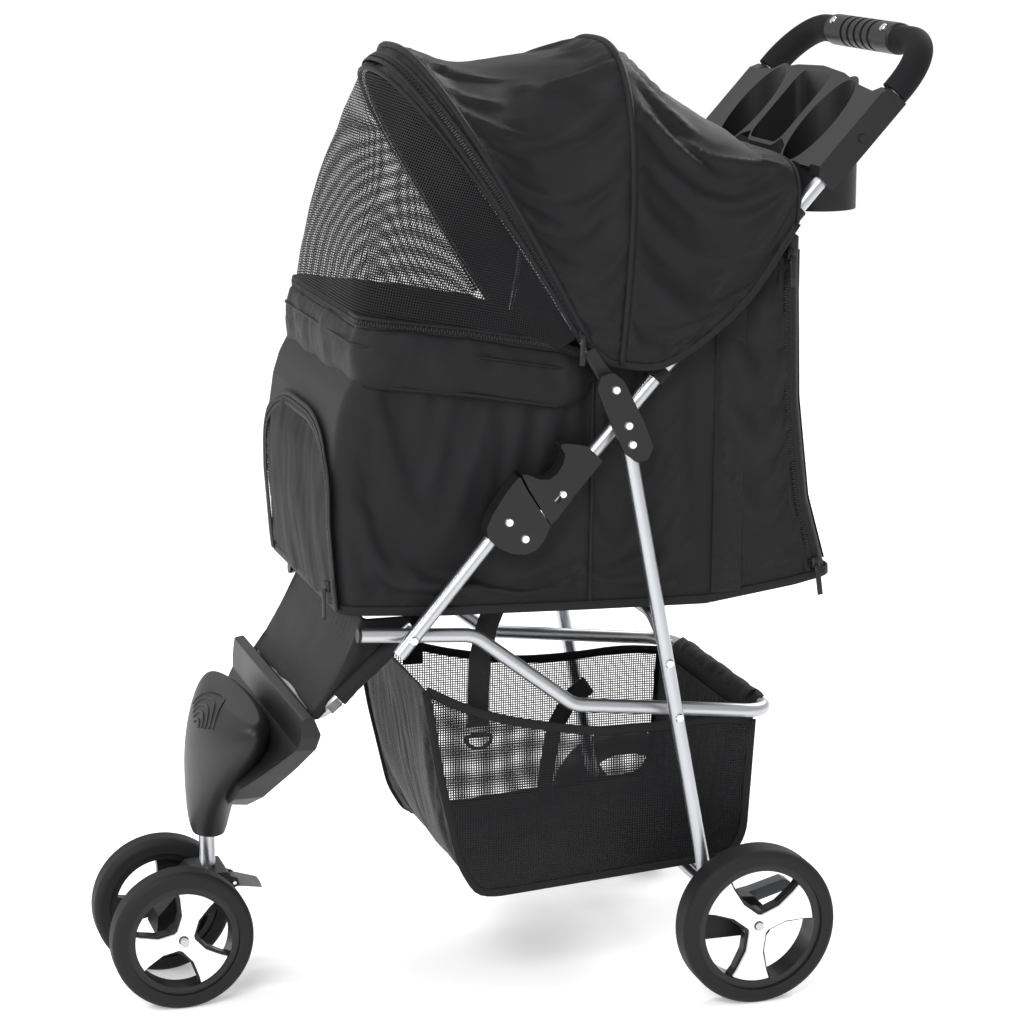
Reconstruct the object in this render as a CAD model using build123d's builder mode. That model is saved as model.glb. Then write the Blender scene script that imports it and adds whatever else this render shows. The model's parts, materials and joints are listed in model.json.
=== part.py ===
from build123d import *
import math
import os

os.makedirs("parts", exist_ok=True)

# Driving dimensions in millimetres. +Z is up, -Y is the front, +X is the stroller's left.
TUBE_R = 7.0
TUBE_WALL = 1.2
BORE_R = TUBE_R + 0.05
RAIL_X = 146.0
HANDLE_X = 161.0
LEG_X = 176.0
FRONT_TUBE_X = 131.0
CABIN_X = 148.0
FOLD = (-46.0, 481.0)
BRACKET_PIVOT = (52.0, 588.8)
RAIL_PIVOT = (-156.0, 387.6)
LEG_RIVET = (109.3, 292.4)
BOW_PIVOT = (39.0, 624.0)
HANDLE_U = (0.6727, 0.7399)
HANDLE_LENGTH = 621.0
REAR_AXLE = (184.0, 80.0)
REAR_WHEEL_X = 204.0
REAR_WHEEL_R = 80.0
STEM_Y = -328.0
FRONT_AXLE = (-366.0, 71.0)
FRONT_WHEEL_X = 54.0
FRONT_WHEEL_R = 71.0
PIN_R = 3.0
# The drawing is laid out from a working zero; this moves it to the middle of the length.
MIDDLE = Location((0, 24.63, 0))
SIDES = (("left", 1), ("right", -1))


def save(piece, label):
    """Write one named solid, or several of one kind, to its own file."""
    placed = piece.part.moved(MIDDLE)
    placed.label = label
    export_step(placed, f"parts/{label}.step")


def side_plane(x):
    """The plane square to X at x, with local axes Y and Z."""
    return Plane.YZ.offset(x)


def save_all(pieces, label):
    """Write several separate pieces of one kind to one file."""
    with BuildPart() as group:
        for piece in pieces:
            add(piece.part)
    save(group, label)


def slab(outline, x0, x1, round_r=0.0):
    """A flat piece with a side outline, lying between two X positions."""
    with BuildPart() as piece:
        with BuildSketch(side_plane(min(x0, x1))) as face:
            with BuildLine():
                Polyline(*outline, close=True)
            make_face()
            if round_r:
                fillet(face.vertices(), round_r)
        extrude(amount=abs(x1 - x0))
    return piece


def ring(x0, x1, centre, r_out, r_in=0.0):
    """A disc or ring about an X axis through centre."""
    with BuildPart() as piece:
        with BuildSketch(side_plane(min(x0, x1))):
            with Locations(centre):
                Circle(r_out)
                if r_in:
                    Circle(r_in, mode=Mode.SUBTRACT)
        extrude(amount=abs(x1 - x0))
    return piece


def bent_rod(points, bend_r, r_out, r_in=0.0):
    """A round rod or tube bent along a line of points."""
    with BuildPart() as piece:
        with BuildLine() as path:
            if len(points) > 2:
                FilletPolyline(*points, radius=bend_r)
            else:
                Line(*points)
        with BuildSketch(Plane(origin=path.line @ 0, z_dir=path.line % 0)):
            Circle(r_out)
            if r_in:
                Circle(r_in, mode=Mode.SUBTRACT)
        sweep(path=path.line)
    return piece


def cut_bores(piece, places, radius, half_length=9.0):
    """Drill holes along X through a piece at (x, y, z) places."""
    with BuildPart() as drilled:
        add(piece.part)
        for x, y, z in places:
            with BuildSketch(side_plane(x - half_length)):
                with Locations((y, z)):
                    Circle(radius)
            extrude(amount=2 * half_length, mode=Mode.SUBTRACT)
    return drilled


def on_handle(s, t=0.0):
    """Side-view point s along the handle tube from the fold pivot and t above it."""
    y = FOLD[0] + s * HANDLE_U[0] - t * HANDLE_U[1]
    z = FOLD[1] + s * HANDLE_U[1] + t * HANDLE_U[0]
    return (y, z)


def rivets(places, x_in, x_out, r_pin=PIN_R, r_head=4.6):
    """Domed rivets along X, one on each side of the stroller at every place."""
    with BuildPart() as piece:
        for sign in (1, -1):
            for y, z in places:
                low, high = sorted((sign * x_in, sign * x_out))
                with BuildSketch(side_plane(low)):
                    with Locations((y, z)):
                        Circle(r_pin)
                extrude(amount=high - low)
                with BuildSketch(side_plane(sign * x_out)):
                    with Locations((y, z)):
                        Circle(r_head)
                extrude(amount=1.8 * sign, taper=30)
    return piece


# Front frame: two side tubes, and the bent front tube they are riveted to.
SIDE_TUBE_TOP = (-50.0, 512.4)
SIDE_TUBE_END = (-169.0, 372.3)
PANEL_RIVET = (-62.0, 498.3)
side_tubes = []
for x in (HANDLE_X, -HANDLE_X):
    side_tube = bent_rod([(x, *SIDE_TUBE_END), (x, *SIDE_TUBE_TOP)], 0, TUBE_R, TUBE_R - TUBE_WALL)
    side_tubes.append(cut_bores(side_tube, [(x, *RAIL_PIVOT), (x, *PANEL_RIVET)], PIN_R))
save_all(side_tubes, "side_tubes")

front_tube_points = [
    (FRONT_TUBE_X, -149.0, 394.0),
    (FRONT_TUBE_X, -243.0, 308.0),
    (-FRONT_TUBE_X, -243.0, 308.0),
    (-FRONT_TUBE_X, -149.0, 394.0),
]
front_tube = bent_rod(front_tube_points, 26, TUBE_R, TUBE_R - TUBE_WALL)
front_tube = cut_bores(
    front_tube, [(FRONT_TUBE_X, *RAIL_PIVOT), (-FRONT_TUBE_X, *RAIL_PIVOT)], PIN_R
)
save(front_tube, "front_tube")
rail_pivot_pins = rivets([RAIL_PIVOT], 122.0, 168.2)

# Footrest housing: a bulging nose round the stem, and a wide plate behind it.
NOSE_SECTIONS = [
    (161, -326, 22, 16), (188, -325, 36, 22), (222, -318, 64, 29), (262, -305, 100, 35),
    (288, -300, 112, 27), (298, -298, 98, 15),
]
PLATE_SIDE = [
    (-296, 200), (-280, 228), (-262, 258), (-249, 284), (-246, 300), (-253, 318),
    (-263, 316), (-267, 286), (-284, 264), (-312, 232), (-318, 206),
]
PLATE_FRONT = [
    (-42, 196), (42, 196), (80, 217), (116, 250), (150, 283), (158, 298), (158, 320),
    (-158, 320), (-158, 298), (-150, 283), (-116, 250), (-80, 217),
]
with BuildPart() as nose:
    for z, y, rx, ry in NOSE_SECTIONS:
        with BuildSketch(Plane.XY.offset(z)):
            with Locations((0, y)):
                Ellipse(rx, ry)
    loft()
with BuildPart() as plate:
    with BuildSketch(side_plane(-160)) as plate_side:
        with BuildLine():
            Polyline(*PLATE_SIDE, close=True)
        make_face()
        fillet(plate_side.vertices(), 2.5)
    extrude(amount=320)
    with BuildSketch(Plane.XZ.offset(200)) as plate_front:
        with BuildLine():
            Polyline(*PLATE_FRONT, close=True)
        make_face()
        fillet(plate_front.vertices(), 5.0)
    extrude(amount=200, mode=Mode.INTERSECT)
with BuildPart() as front_housing:
    add(nose.part)
    add(plate.part)
    with BuildSketch(Plane.XY.offset(150)):
        with Locations((0, STEM_Y)):
            Circle(8.1)
    extrude(amount=86, mode=Mode.SUBTRACT)
    with BuildLine() as channel_path:
        FilletPolyline(*front_tube_points, radius=26)
    with BuildSketch(Plane(origin=channel_path.line @ 0, z_dir=channel_path.line % 0)):
        Circle(BORE_R)
    sweep(path=channel_path.line, mode=Mode.SUBTRACT)
save(front_housing, "front_housing")

# Fold latch: a fan-shaped housing on the side tube with a slot for the handle tube.
LATCH_HOUSING = [
    (-51.5, 543.0), (-66.0, 526.0), (-79.0, 506.0), (-84.5, 493.0), (-83.0, 484.0),
    (-73.0, 474.0), (-60.0, 467.5), (-46.0, 465.5), (-35.0, 469.0), (-26.5, 479.0),
    (-20.8, 492.0), (-33.0, 511.0), (-44.4, 529.0),
]
latch_housings = []
for sign in (1, -1):
    x = sign * HANDLE_X
    with BuildPart() as latch_housing:
        with BuildSketch(side_plane(sign * HANDLE_X - 11.0)) as fan:
            with BuildLine():
                Polyline(*LATCH_HOUSING, close=True)
            make_face()
            fillet(fan.vertices(), 2.0)
        extrude(amount=22)
        with BuildSketch(side_plane(sign * HANDLE_X - 7.4)):
            with BuildLine():
                Polyline(
                    on_handle(-12, 10.0), on_handle(11, 10.0), on_handle(60, 10.0),
                    (30, 440), (-95, 440), (-68, 470), close=True,
                )
            make_face()
            with Locations(FOLD):
                Circle(12.5)
        extrude(amount=14.8, mode=Mode.SUBTRACT)
        with BuildLine() as tube_path:
            Line((x, *SIDE_TUBE_END), (x, *SIDE_TUBE_TOP))
        with BuildSketch(Plane(origin=tube_path.line @ 0, z_dir=tube_path.line % 0)):
            Circle(BORE_R)
        sweep(path=tube_path.line, mode=Mode.SUBTRACT)
    latch_housings.append(
        cut_bores(latch_housing, [(x, *FOLD), (x, *PANEL_RIVET)], PIN_R, 14)
    )
save_all(latch_housings, "fold_latch_housings")
save_all([rail_pivot_pins, rivets([FOLD, PANEL_RIVET], 149.2, 172.0)], "frame_rivets")

# Handle: one bent tube, foam sleeves, a middle grip, and the cup tray.
handle_end = on_handle(HANDLE_LENGTH)
handle_start = on_handle(-9.0)
handle_points = [
    (HANDLE_X, *handle_start), (HANDLE_X, *handle_end),
    (-HANDLE_X, *handle_end), (-HANDLE_X, *handle_start),
]
handle_tube = bent_rod(handle_points, 55, TUBE_R, TUBE_R - TUBE_WALL)
handle_bores = []
for sign in (1, -1):
    handle_bores.append((sign * HANDLE_X, *FOLD))
    handle_bores.append((sign * HANDLE_X, *BRACKET_PIVOT))
handle_tube = cut_bores(handle_tube, handle_bores, PIN_R + 0.06)
slider_rivet = on_handle(56)
handle_tube = cut_bores(
    handle_tube, [(HANDLE_X, *slider_rivet), (-HANDLE_X, *slider_rivet)], 2.0
)
save(handle_tube, "handle_tube")
save(rivets([slider_rivet], 150.0, 172.3, 2.0, 4.2), "latch_guide_rivets")

foam_grips = []
for sign in (1, -1):
    x = sign * HANDLE_X
    foam_points = [
        (x, *on_handle(559)), (x, *handle_end), (sign * 81.0, *handle_end),
    ]
    foam_grips.append(bent_rod(foam_points, 55, 14.0, BORE_R))
save_all(foam_grips, "foam_grips")

grip_axis = on_handle(HANDLE_LENGTH)
with BuildPart() as middle_grip:
    with BuildSketch(side_plane(-80)):
        with Locations(grip_axis):
            Circle(16.0)
    extrude(amount=160)
    fillet(middle_grip.edges().filter_by(GeomType.CIRCLE), 3.0)
    for i in range(5):
        with BuildSketch(side_plane(-37 + 17 * i)):
            with Locations(grip_axis):
                Circle(20)
                Circle(14.6, mode=Mode.SUBTRACT)
        extrude(amount=6, mode=Mode.SUBTRACT)
    with BuildSketch(side_plane(-81)):
        with Locations(grip_axis):
            Circle(BORE_R)
    extrude(amount=162, mode=Mode.SUBTRACT)
save(middle_grip, "middle_grip")

tray_plane = Plane(
    origin=(0, *on_handle(0)), x_dir=(1, 0, 0), z_dir=(0, -HANDLE_U[1], HANDLE_U[0])
)
TRAY_OUTLINE = [
    (-150, 452), (-128, 452), (-92, 456), (-45, 474), (0, 478), (45, 474), (92, 456),
    (128, 452), (150, 452), (150, 548), (112, 552), (60, 562), (0, 566), (-60, 562),
    (-112, 552), (-150, 548),
]
well_y = on_handle(503, 14)[0]
with BuildPart() as cup_tray:
    with BuildSketch(tray_plane.offset(8)):
        with BuildLine():
            Polyline(*TRAY_OUTLINE, close=True)
        make_face()
    extrude(amount=7)
    with BuildSketch(Plane.XY.offset(778)):
        with Locations((90, well_y), (-90, well_y)):
            Circle(38)
    extrude(amount=150)
    with BuildSketch(Plane.XY.offset(812)) as middle_box:
        with Locations((0, well_y + 6)):
            RectangleRounded(84, 66, 14)
    extrude(amount=110)
    for sign in (1, -1):
        with BuildSketch(Plane.YZ.offset(sign * HANDLE_X - 11.5)) as sleeve_face:
            with BuildLine():
                Polyline(
                    on_handle(447, -12), on_handle(557, -12), on_handle(557, 10),
                    on_handle(548, 15), on_handle(455, 15), on_handle(447, 8), close=True,
                )
            make_face()
        extrude(amount=23)
    with BuildSketch(tray_plane.offset(15)):
        with Locations((0, 500)):
            Rectangle(400, 400)
    extrude(amount=120, mode=Mode.SUBTRACT)
    with BuildSketch(Plane.XY.offset(781)):
        with Locations((90, well_y), (-90, well_y)):
            Circle(35)
    extrude(amount=160, mode=Mode.SUBTRACT)
    with BuildSketch(Plane.XY.offset(815)):
        with Locations((0, well_y + 6)):
            RectangleRounded(78, 60, 11)
    extrude(amount=130, mode=Mode.SUBTRACT)
    with BuildLine() as handle_path:
        FilletPolyline(*handle_points, radius=55)
    with BuildSketch(Plane(origin=handle_path.line @ 0, z_dir=handle_path.line % 0)):
        Circle(BORE_R)
    sweep(path=handle_path.line, mode=Mode.SUBTRACT)
save(cup_tray, "cup_tray")
with BuildPart() as tray_buttons:
    for sign in (1, -1):
        with BuildSketch(side_plane(sign * (HANDLE_X + 11.5))):
            with Locations(on_handle(503)):
                Circle(4.5)
        extrude(amount=2.2 * sign, taper=20)
save(tray_buttons, "tray_buttons")

# Latch sliders with a finger hook, running on the handle tube.
SLIDER_OUTLINE = [
    (26.4, -11), (36, -12), (66, -10), (105, -9.5), (106, 12), (101, 21), (95, 30),
    (91, 34), (88.5, 32.5), (86, 24), (77, 19.5), (67, 18), (58, 20.5), (52, 28),
    (48, 40), (44.4, 45), (38.4, 30), (32.4, 10),
]
for name, sign in SIDES:
    with BuildPart() as slider:
        with BuildSketch(side_plane(sign * HANDLE_X - 11.0)):
            with BuildLine():
                Polyline(*[on_handle(s, t) for s, t in SLIDER_OUTLINE], close=True)
            make_face()
        extrude(amount=22)
        with BuildLine() as bore_path:
            Line(
                (sign * HANDLE_X, *on_handle(0)), (sign * HANDLE_X, *on_handle(120)),
            )
        with BuildSketch(Plane(origin=bore_path.line @ 0, z_dir=bore_path.line % 0)):
            Circle(TUBE_R + 0.1)
        sweep(path=bore_path.line, mode=Mode.SUBTRACT)
        with BuildSketch(side_plane(sign * HANDLE_X - 14)):
            with BuildLine():
                Polyline(
                    on_handle(45.5, -2.4), on_handle(58.5, -2.4),
                    on_handle(58.5, 2.4), on_handle(45.5, 2.4), close=True,
                )
            make_face()
        extrude(amount=28, mode=Mode.SUBTRACT)
    save(slider, f"fold_latch_slider_{name}")

# Rear legs, their upper brackets, cross members and the axle.
LEG_TOP = (50.6, 598.0)
LEG_END = (150.4, 74.0)
LOWER_RIVET = (55.9, 570.2)
BRACE_RIVET = (98.1, 348.5)
BRACKET_OUTLINE = [
    (24, 638), (36, 641), (47, 632), (68, 590), (77, 567), (72, 555), (61, 552),
    (48, 562), (28, 605), (20, 626),
]
legs = []
brackets = []
for name, sign in SIDES:
    x = sign * LEG_X
    leg = bent_rod([(x, *LEG_END), (x, *LEG_TOP)], 0, TUBE_R, TUBE_R - TUBE_WALL)
    leg_bores = [(x, *p) for p in (BRACKET_PIVOT, LOWER_RIVET, BRACE_RIVET, LEG_RIVET)]
    legs.append(cut_bores(leg, leg_bores, PIN_R))
    with BuildPart() as bracket:
        with BuildSketch(side_plane(min(sign * 184.0, sign * 189.0))) as plate:
            with BuildLine():
                Polyline(*BRACKET_OUTLINE, close=True)
            make_face()
            fillet(plate.vertices(), 4.0)
        extrude(amount=5)
    bracket_bores = [(sign * 186.0, *p) for p in (BRACKET_PIVOT, LOWER_RIVET, BOW_PIVOT)]
    brackets.append(cut_bores(bracket, bracket_bores, PIN_R))
save_all(legs, "rear_legs")
save_all(brackets, "upper_brackets")
leg_rivets = [
    rivets([BRACKET_PIVOT], 152.0, 189.0),
    rivets([LOWER_RIVET], 168.0, 189.0),
    rivets([BRACE_RIVET, LEG_RIVET], 168.6, 183.2),
    rivets([BOW_PIVOT], 169.0, 189.0),
]
save_all(leg_rivets, "leg_rivets")

brace_points = [
    (163.3, 103.5, 330.0), (163.3, 91.5, 391.0), (-163.3, 91.5, 391.0), (-163.3, 103.5, 330.0),
]
save(bent_rod(brace_points, 32, 5.0, 4.0), "cross_brace")
save(bent_rod([(-168.5, 143, 112), (168.5, 143, 112)], 0, 5.0, 4.0), "rear_cross_tube")
save(ring(-218, 218, REAR_AXLE, 4.0), "rear_axle")

BRAKE_OUTLINE = [
    (136, 60), (190, 60), (200, 70), (200, 90), (190, 100), (166, 102), (156, 122), (132, 122),
]
brake_housings = []
brake_pins = []
for name, sign in SIDES:
    x = sign * LEG_X
    brake = slab(BRAKE_OUTLINE, x - 9.0, x + 9.0, 4.0)
    with BuildPart() as brake_housing:
        add(brake.part)
        with BuildLine() as leg_path:
            Line((x, *LEG_END), (x, *LEG_TOP))
        with BuildSketch(Plane(origin=leg_path.line @ 0, z_dir=leg_path.line % 0)):
            Circle(BORE_R)
        sweep(path=leg_path.line, mode=Mode.SUBTRACT)
        with BuildSketch(side_plane(x - 12)):
            with Locations(REAR_AXLE):
                Circle(4.05)
        extrude(amount=24, mode=Mode.SUBTRACT)
        with BuildSketch(side_plane(min(sign * 150, sign * 169))):
            with Locations((143, 112)):
                Circle(5.05)
        extrude(amount=19, mode=Mode.SUBTRACT)
    brake_housings.append(brake_housing)
    brake_pins.append(ring(sign * 150, sign * 166.8, (190, 92), 2.5))
    pedal_outline = [(184, 86), (196, 86), (232, 96), (238, 104), (230, 108), (196, 99), (184, 97)]
    pedal = slab(pedal_outline, sign * 151.0, sign * 166.2, 2.0)
    save(cut_bores(pedal, [(sign * 158.6, 190, 92)], 2.56, 10), f"brake_pedal_{name}")

save_all(brake_housings, "brake_housings")
save_all(brake_pins, "brake_pins")

# Basket rail: one tube bent round the rear, ends plugged.
rail_side = [(-203, 391), (-90, 382.9), (12, 304), (222, 279)]
rail_points = [(RAIL_X, *p) for p in rail_side] + [(-RAIL_X, *p) for p in rail_side[::-1]]
rail = bent_rod(rail_points, 32, TUBE_R, TUBE_R - TUBE_WALL)
rail = cut_bores(rail, [(RAIL_X, *RAIL_PIVOT), (-RAIL_X, *RAIL_PIVOT)], PIN_R + 0.06)
save(rail, "basket_rail")
with BuildPart() as rail_plugs:
    for sign in (1, -1):
        with BuildSketch(Plane(origin=(sign * RAIL_X, -203.05, 391), z_dir=(0, -1, 0.0717))):
            Circle(TUBE_R)
        extrude(amount=3)
save(rail_plugs, "rail_plugs")

# Basket: an open soft tub hanging from the rail.
BASKET_OUTER = [
    (-136, 328), (-122, 239), (-101, 146), (-86, 120), (-70, 116), (183, 130), (196, 148),
    (204, 252), (204, 270), (100, 275), (33, 275), (-50, 291), (-94, 306),
]
BASKET_INNER = [
    (-134, 360), (-132.5, 331), (-118.5, 240), (-98, 148), (-83.5, 123.5), (-70, 119.5),
    (181, 133.5), (193, 150), (201, 252), (201, 360),
]
with BuildPart() as basket:
    with BuildSketch(side_plane(-136)):
        with BuildLine():
            Polyline(*BASKET_OUTER, close=True)
        make_face()
    extrude(amount=272)
    with BuildSketch(side_plane(-133.5)):
        with BuildLine():
            Polyline(*BASKET_INNER, close=True)
        make_face()
    extrude(amount=267, mode=Mode.SUBTRACT)
save(basket, "basket")
save(bent_rod([(-98, 222, 279), (98, 222, 279)], 0, 9.2, TUBE_R + 0.3), "basket_rear_sleeve")
with BuildPart() as basket_straps:
    with Locations((120, -72, 335), (-120, -72, 335)):
        Box(1.6, 25, 122)
save(basket_straps, "basket_straps")


# Cabin: floor board, side, front and rear walls, cuff, and the lower front panel.
SIDE_WALL = [
    (-222, 413), (-226, 560), (-208, 640), (-197, 682), (-8, 634), (40, 642), (96, 668),
    (160, 712), (232, 768), (243, 754), (246, 596), (258, 495), (279, 421), (147, 402),
    (27, 404), (-120, 408),
]
with BuildPart() as cabin_floor:
    with BuildSketch(side_plane(-138)):
        with BuildLine():
            Polyline((-216, 417), (-120, 412), (27, 408), (147, 406), (272, 422),
                     (272, 429), (147, 413), (27, 415), (-120, 419), (-216, 424), close=True)
        make_face()
    extrude(amount=276)
save(cabin_floor, "cabin_floor")
save_all(
    [slab(SIDE_WALL, 145.0, CABIN_X), slab(SIDE_WALL, -145.0, -CABIN_X)], "cabin_sides"
)
CUFF_OUTER = [
    (-214, 636), (-222, 645), (-210, 688), (-202, 694), (-192, 689), (-8, 659), (18, 648),
    (26, 634), (14, 612), (-10, 603), (-100, 622), (-180, 634),
]
CUFF_INNER = [(-213.2, 590), (-212.4, 641), (-200.4, 687), (-200.4, 720), (60, 720), (60, 590)]
with BuildPart() as cuff:
    with BuildSketch(side_plane(-152)) as cuff_face:
        with BuildLine():
            Polyline(*CUFF_OUTER, close=True)
        make_face()
        fillet(cuff_face.vertices(), 3.0)
    extrude(amount=304)
    with BuildSketch(side_plane(-148.4)):
        with BuildLine():
            Polyline(*CUFF_INNER, close=True)
        make_face()
    extrude(amount=296.8, mode=Mode.SUBTRACT)
save(cuff, "cuff")
with BuildPart() as cabin_front:
    with BuildSketch(side_plane(-144.6)):
        with BuildLine():
            Polyline((-225, 407), (-222, 407), (-226, 560), (-208, 640), (-196, 684),
                     (-199, 685), (-211, 641), (-229, 560), close=True)
        make_face()
    extrude(amount=289.2)
    with BuildSketch(Plane.XZ.offset(180)) as door_gap:
        with Locations((0, 500)):
            RectangleRounded(252, 150, 48)
    extrude(amount=70, mode=Mode.SUBTRACT)
save(cabin_front, "cabin_front")
with BuildPart() as front_door:
    with BuildSketch(side_plane(-125)):
        with BuildLine():
            Polyline((-224.2, 426), (-222.8, 426), (-226.2, 560), (-222.3, 574),
                     (-223.7, 574), (-227.8, 560), close=True)
        make_face()
    extrude(amount=250)
    with BuildSketch(Plane.XZ.offset(180)):
        with Locations((0, 500)):
            RectangleRounded(250.4, 148.4, 47.2)
    extrude(amount=70, mode=Mode.INTERSECT)
save(front_door, "front_door_mesh")
with BuildPart() as cabin_rear:
    with BuildSketch(side_plane(-144.6)):
        with BuildLine():
            Polyline((276, 431), (279, 431), (258, 495), (246, 596), (243, 752),
                     (240, 752), (243, 596), (255, 494), close=True)
        make_face()
    extrude(amount=289.2)
save(cabin_rear, "cabin_rear")
with BuildPart() as rear_flap:
    with BuildSketch(side_plane(-120)):
        with BuildLine():
            Polyline((283, 426), (286, 426), (264, 495), (251, 596), (248, 748),
                     (245.5, 748), (248.5, 596), (261, 494), close=True)
        make_face()
    extrude(amount=240)
save(rear_flap, "rear_door_flap")
lower_panel = [(-216, 400), (-213.5, 400), (-232.5, 322), (-235, 322)]
save(slab(lower_panel, -118, 118), "lower_front_panel")
with BuildPart() as side_straps:
    for sign in (1, -1):
        low = min(sign * 148.4, sign * 149.8)
        with BuildSketch(side_plane(low)):
            with BuildLine():
                Polyline((155, 404), (183, 408), (180, 722), (152, 700), close=True)
            make_face()
        extrude(amount=1.4)
save(side_straps, "side_straps")


# Canopy: arches in planes that fan out from the bow pivot.
def fan_plane(angle):
    """Plane through the bow pivot's X axis; local Y points at angle above +Y."""
    a = math.radians(angle)
    return Plane(
        origin=(0, *BOW_PIVOT), x_dir=(1, 0, 0), z_dir=(0, -math.sin(a), math.cos(a))
    )


def arch(a, h, power, base, steps=14):
    """Half a rounded arch, from (a, base) over the top to (-a, base)."""
    points = []
    turns = [math.pi * i / steps for i in range(steps + 1)]
    for t in [0, 0.03] + turns[1:-1] + [math.pi - 0.03, math.pi]:
        c, s = math.cos(t), math.sin(t)
        px = a * math.copysign(abs(c) ** (2 / power), c)
        points.append((px, base + (h - base) * abs(s) ** (2 / power)))
    return points


def fan_solid(first, second, base, inset=0.0, drop=0.0):
    """Solid lofted between two arches, each given as (angle, a, h, power)."""
    with BuildPart() as piece:
        for angle, a, h, power in (first, second):
            with BuildSketch(fan_plane(angle)):
                with BuildLine():
                    top = arch(a - inset, h - inset, power, base - drop)
                    Spline(*top)
                    Line(top[-1], top[0])
                make_face()
        loft(ruled=True)
    return piece


def fan_shell(first, second, base, wall):
    """Open-bottomed soft cover lofted between two arches."""
    outer = fan_solid(first, second, base)
    inner = fan_solid(first, second, base, wall, 6.0)
    with BuildPart() as piece:
        add(outer.part)
        add(inner.part, mode=Mode.SUBTRACT)
    return piece


FRONT_ARCH = (122.3, 171.0, 353.0, 2.5)
MID_ARCH = (82.5, 173.0, 320.0, 2.6)
REAR_ARCH = (46.0, 171.0, 288.0, 4.5)
RIM_ARCH = (163.0, 156.0, 243.0, 9.0)
save(fan_shell((121.3, *FRONT_ARCH[1:]), (83.2, *MID_ARCH[1:]), 62, 2.0), "canopy_front")
save(fan_shell((81.8, *MID_ARCH[1:]), REAR_ARCH, 62, 2.0), "canopy_rear")
save(fan_shell(RIM_ARCH, (123.6, *FRONT_ARCH[1:]), 62, 1.2), "mesh_window")


def bow(angle, a, h, power, r_rod, foot_x, foot_r):
    """A thin bent rod following an arch, its feet reaching the bracket."""
    plane = fan_plane(angle)
    flat = [(foot_x, foot_r)] + arch(a, h, power, 60) + [(-foot_x, foot_r)]
    with BuildPart() as piece:
        with BuildLine() as path:
            Spline(*[plane.from_local_coords(Vector(px, py, 0)) for px, py in flat])
        with BuildSketch(Plane(origin=path.line @ 0, z_dir=path.line % 0)):
            Circle(r_rod)
        sweep(path=path.line)
    return piece


FRONT_BOW = (122.3, 165.0, 346.0, 2.5)
save(bow(*FRONT_BOW, 2.5, LEG_X, 8), "front_bow")
save(bow(82.5, 159.0, 314.0, 2.6, 2.5, 165.5, 26), "middle_bow")
bow_core = bow(*FRONT_BOW, 2.55, LEG_X, 8)
sockets = []
for sign in (1, -1):
    plane = fan_plane(122.3)
    with BuildPart() as socket:
        with BuildSketch(side_plane(sign * LEG_X - 3.4)):
            with Locations(BOW_PIVOT):
                Circle(9.5)
        extrude(amount=6.8)
        foot = plane.from_local_coords(Vector(sign * LEG_X, 4, 0))
        with BuildSketch(Plane(origin=foot, x_dir=(1, 0, 0), z_dir=plane.y_dir)):
            RectangleRounded(6.8, 16, 3)
        extrude(amount=40, taper=2)
        add(bow_core.part, mode=Mode.SUBTRACT)
        with BuildSketch(side_plane(sign * LEG_X - 12)):
            with Locations(BOW_PIVOT):
                Circle(PIN_R + 0.06)
        extrude(amount=24, mode=Mode.SUBTRACT)
    sockets.append(socket)
save_all(sockets, "bow_sockets")

# Caster: stem, fork, axle and swivel lock.
save(bent_rod([(0, STEM_Y, 104), (0, STEM_Y, 234)], 0, 8.0), "caster_stem")
LOCK_PIVOT = (-303.0, 107.0)
FORK_OUTLINE = [
    (-310, 124), (-346, 124), (-362, 108), (-384, 84), (-386, 62), (-372, 52), (-354, 56),
    (-338, 80), (-318, 88), (-310, 98),
]
with BuildPart() as fork:
    add(slab(FORK_OUTLINE, -26, 26, 4.0).part)
    with BuildSketch(Plane.XY.offset(103.9)):
        with Locations((0, STEM_Y)):
            Circle(8.05)
    extrude(amount=40, mode=Mode.SUBTRACT)
    with BuildSketch(side_plane(-30)):
        with Locations(FRONT_AXLE):
            Circle(4.05)
    extrude(amount=60, mode=Mode.SUBTRACT)
    for low in (-13.0, 9.6):
        with BuildSketch(side_plane(low)):
            with BuildLine():
                Polyline((-316, 118), (-300, 112), (-298, 104), (-316, 98), close=True)
            make_face()
        extrude(amount=3.4)
    with BuildSketch(side_plane(-20)):
        with Locations(LOCK_PIVOT):
            Circle(1.8)
    extrude(amount=40, mode=Mode.SUBTRACT)
save(fork, "caster_fork")
save(ring(-13.4, 13.4, LOCK_PIVOT, 1.75), "swivel_lock_pin")
save(ring(-73, 73, FRONT_AXLE, 4.0), "front_axle")
with BuildPart() as swivel_lever:
    with BuildSketch(side_plane(-9)):
        with BuildLine():
            Polyline((-308, 110), (-301, 112), (-276, 104), (-274, 98), (-299, 102),
                     (-308, 103), close=True)
        make_face()
        with Locations(LOCK_PIVOT):
            Circle(1.84, mode=Mode.SUBTRACT)
    extrude(amount=18)
save(swivel_lever, "swivel_lock_lever")


# Wheels: tyre, three-armed rim with a hub, and a bright three-armed cap.
def arm(centre, angle, reach, root, tip):
    """A wheel arm's outline: root and tip are half-widths, flaring from the middle."""
    a = math.radians(angle)
    shape = [
        (0, -root), (reach * 0.42, -root), (reach * 0.72, -tip * 0.62), (reach, -tip),
        (reach, tip), (reach * 0.72, tip * 0.62), (reach * 0.42, root), (0, root),
    ]
    turned = []
    for u, v in shape:
        y = centre[0] + u * math.cos(a) - v * math.sin(a)
        z = centre[1] + u * math.sin(a) + v * math.cos(a)
        turned.append((y, z))
    return turned


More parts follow.
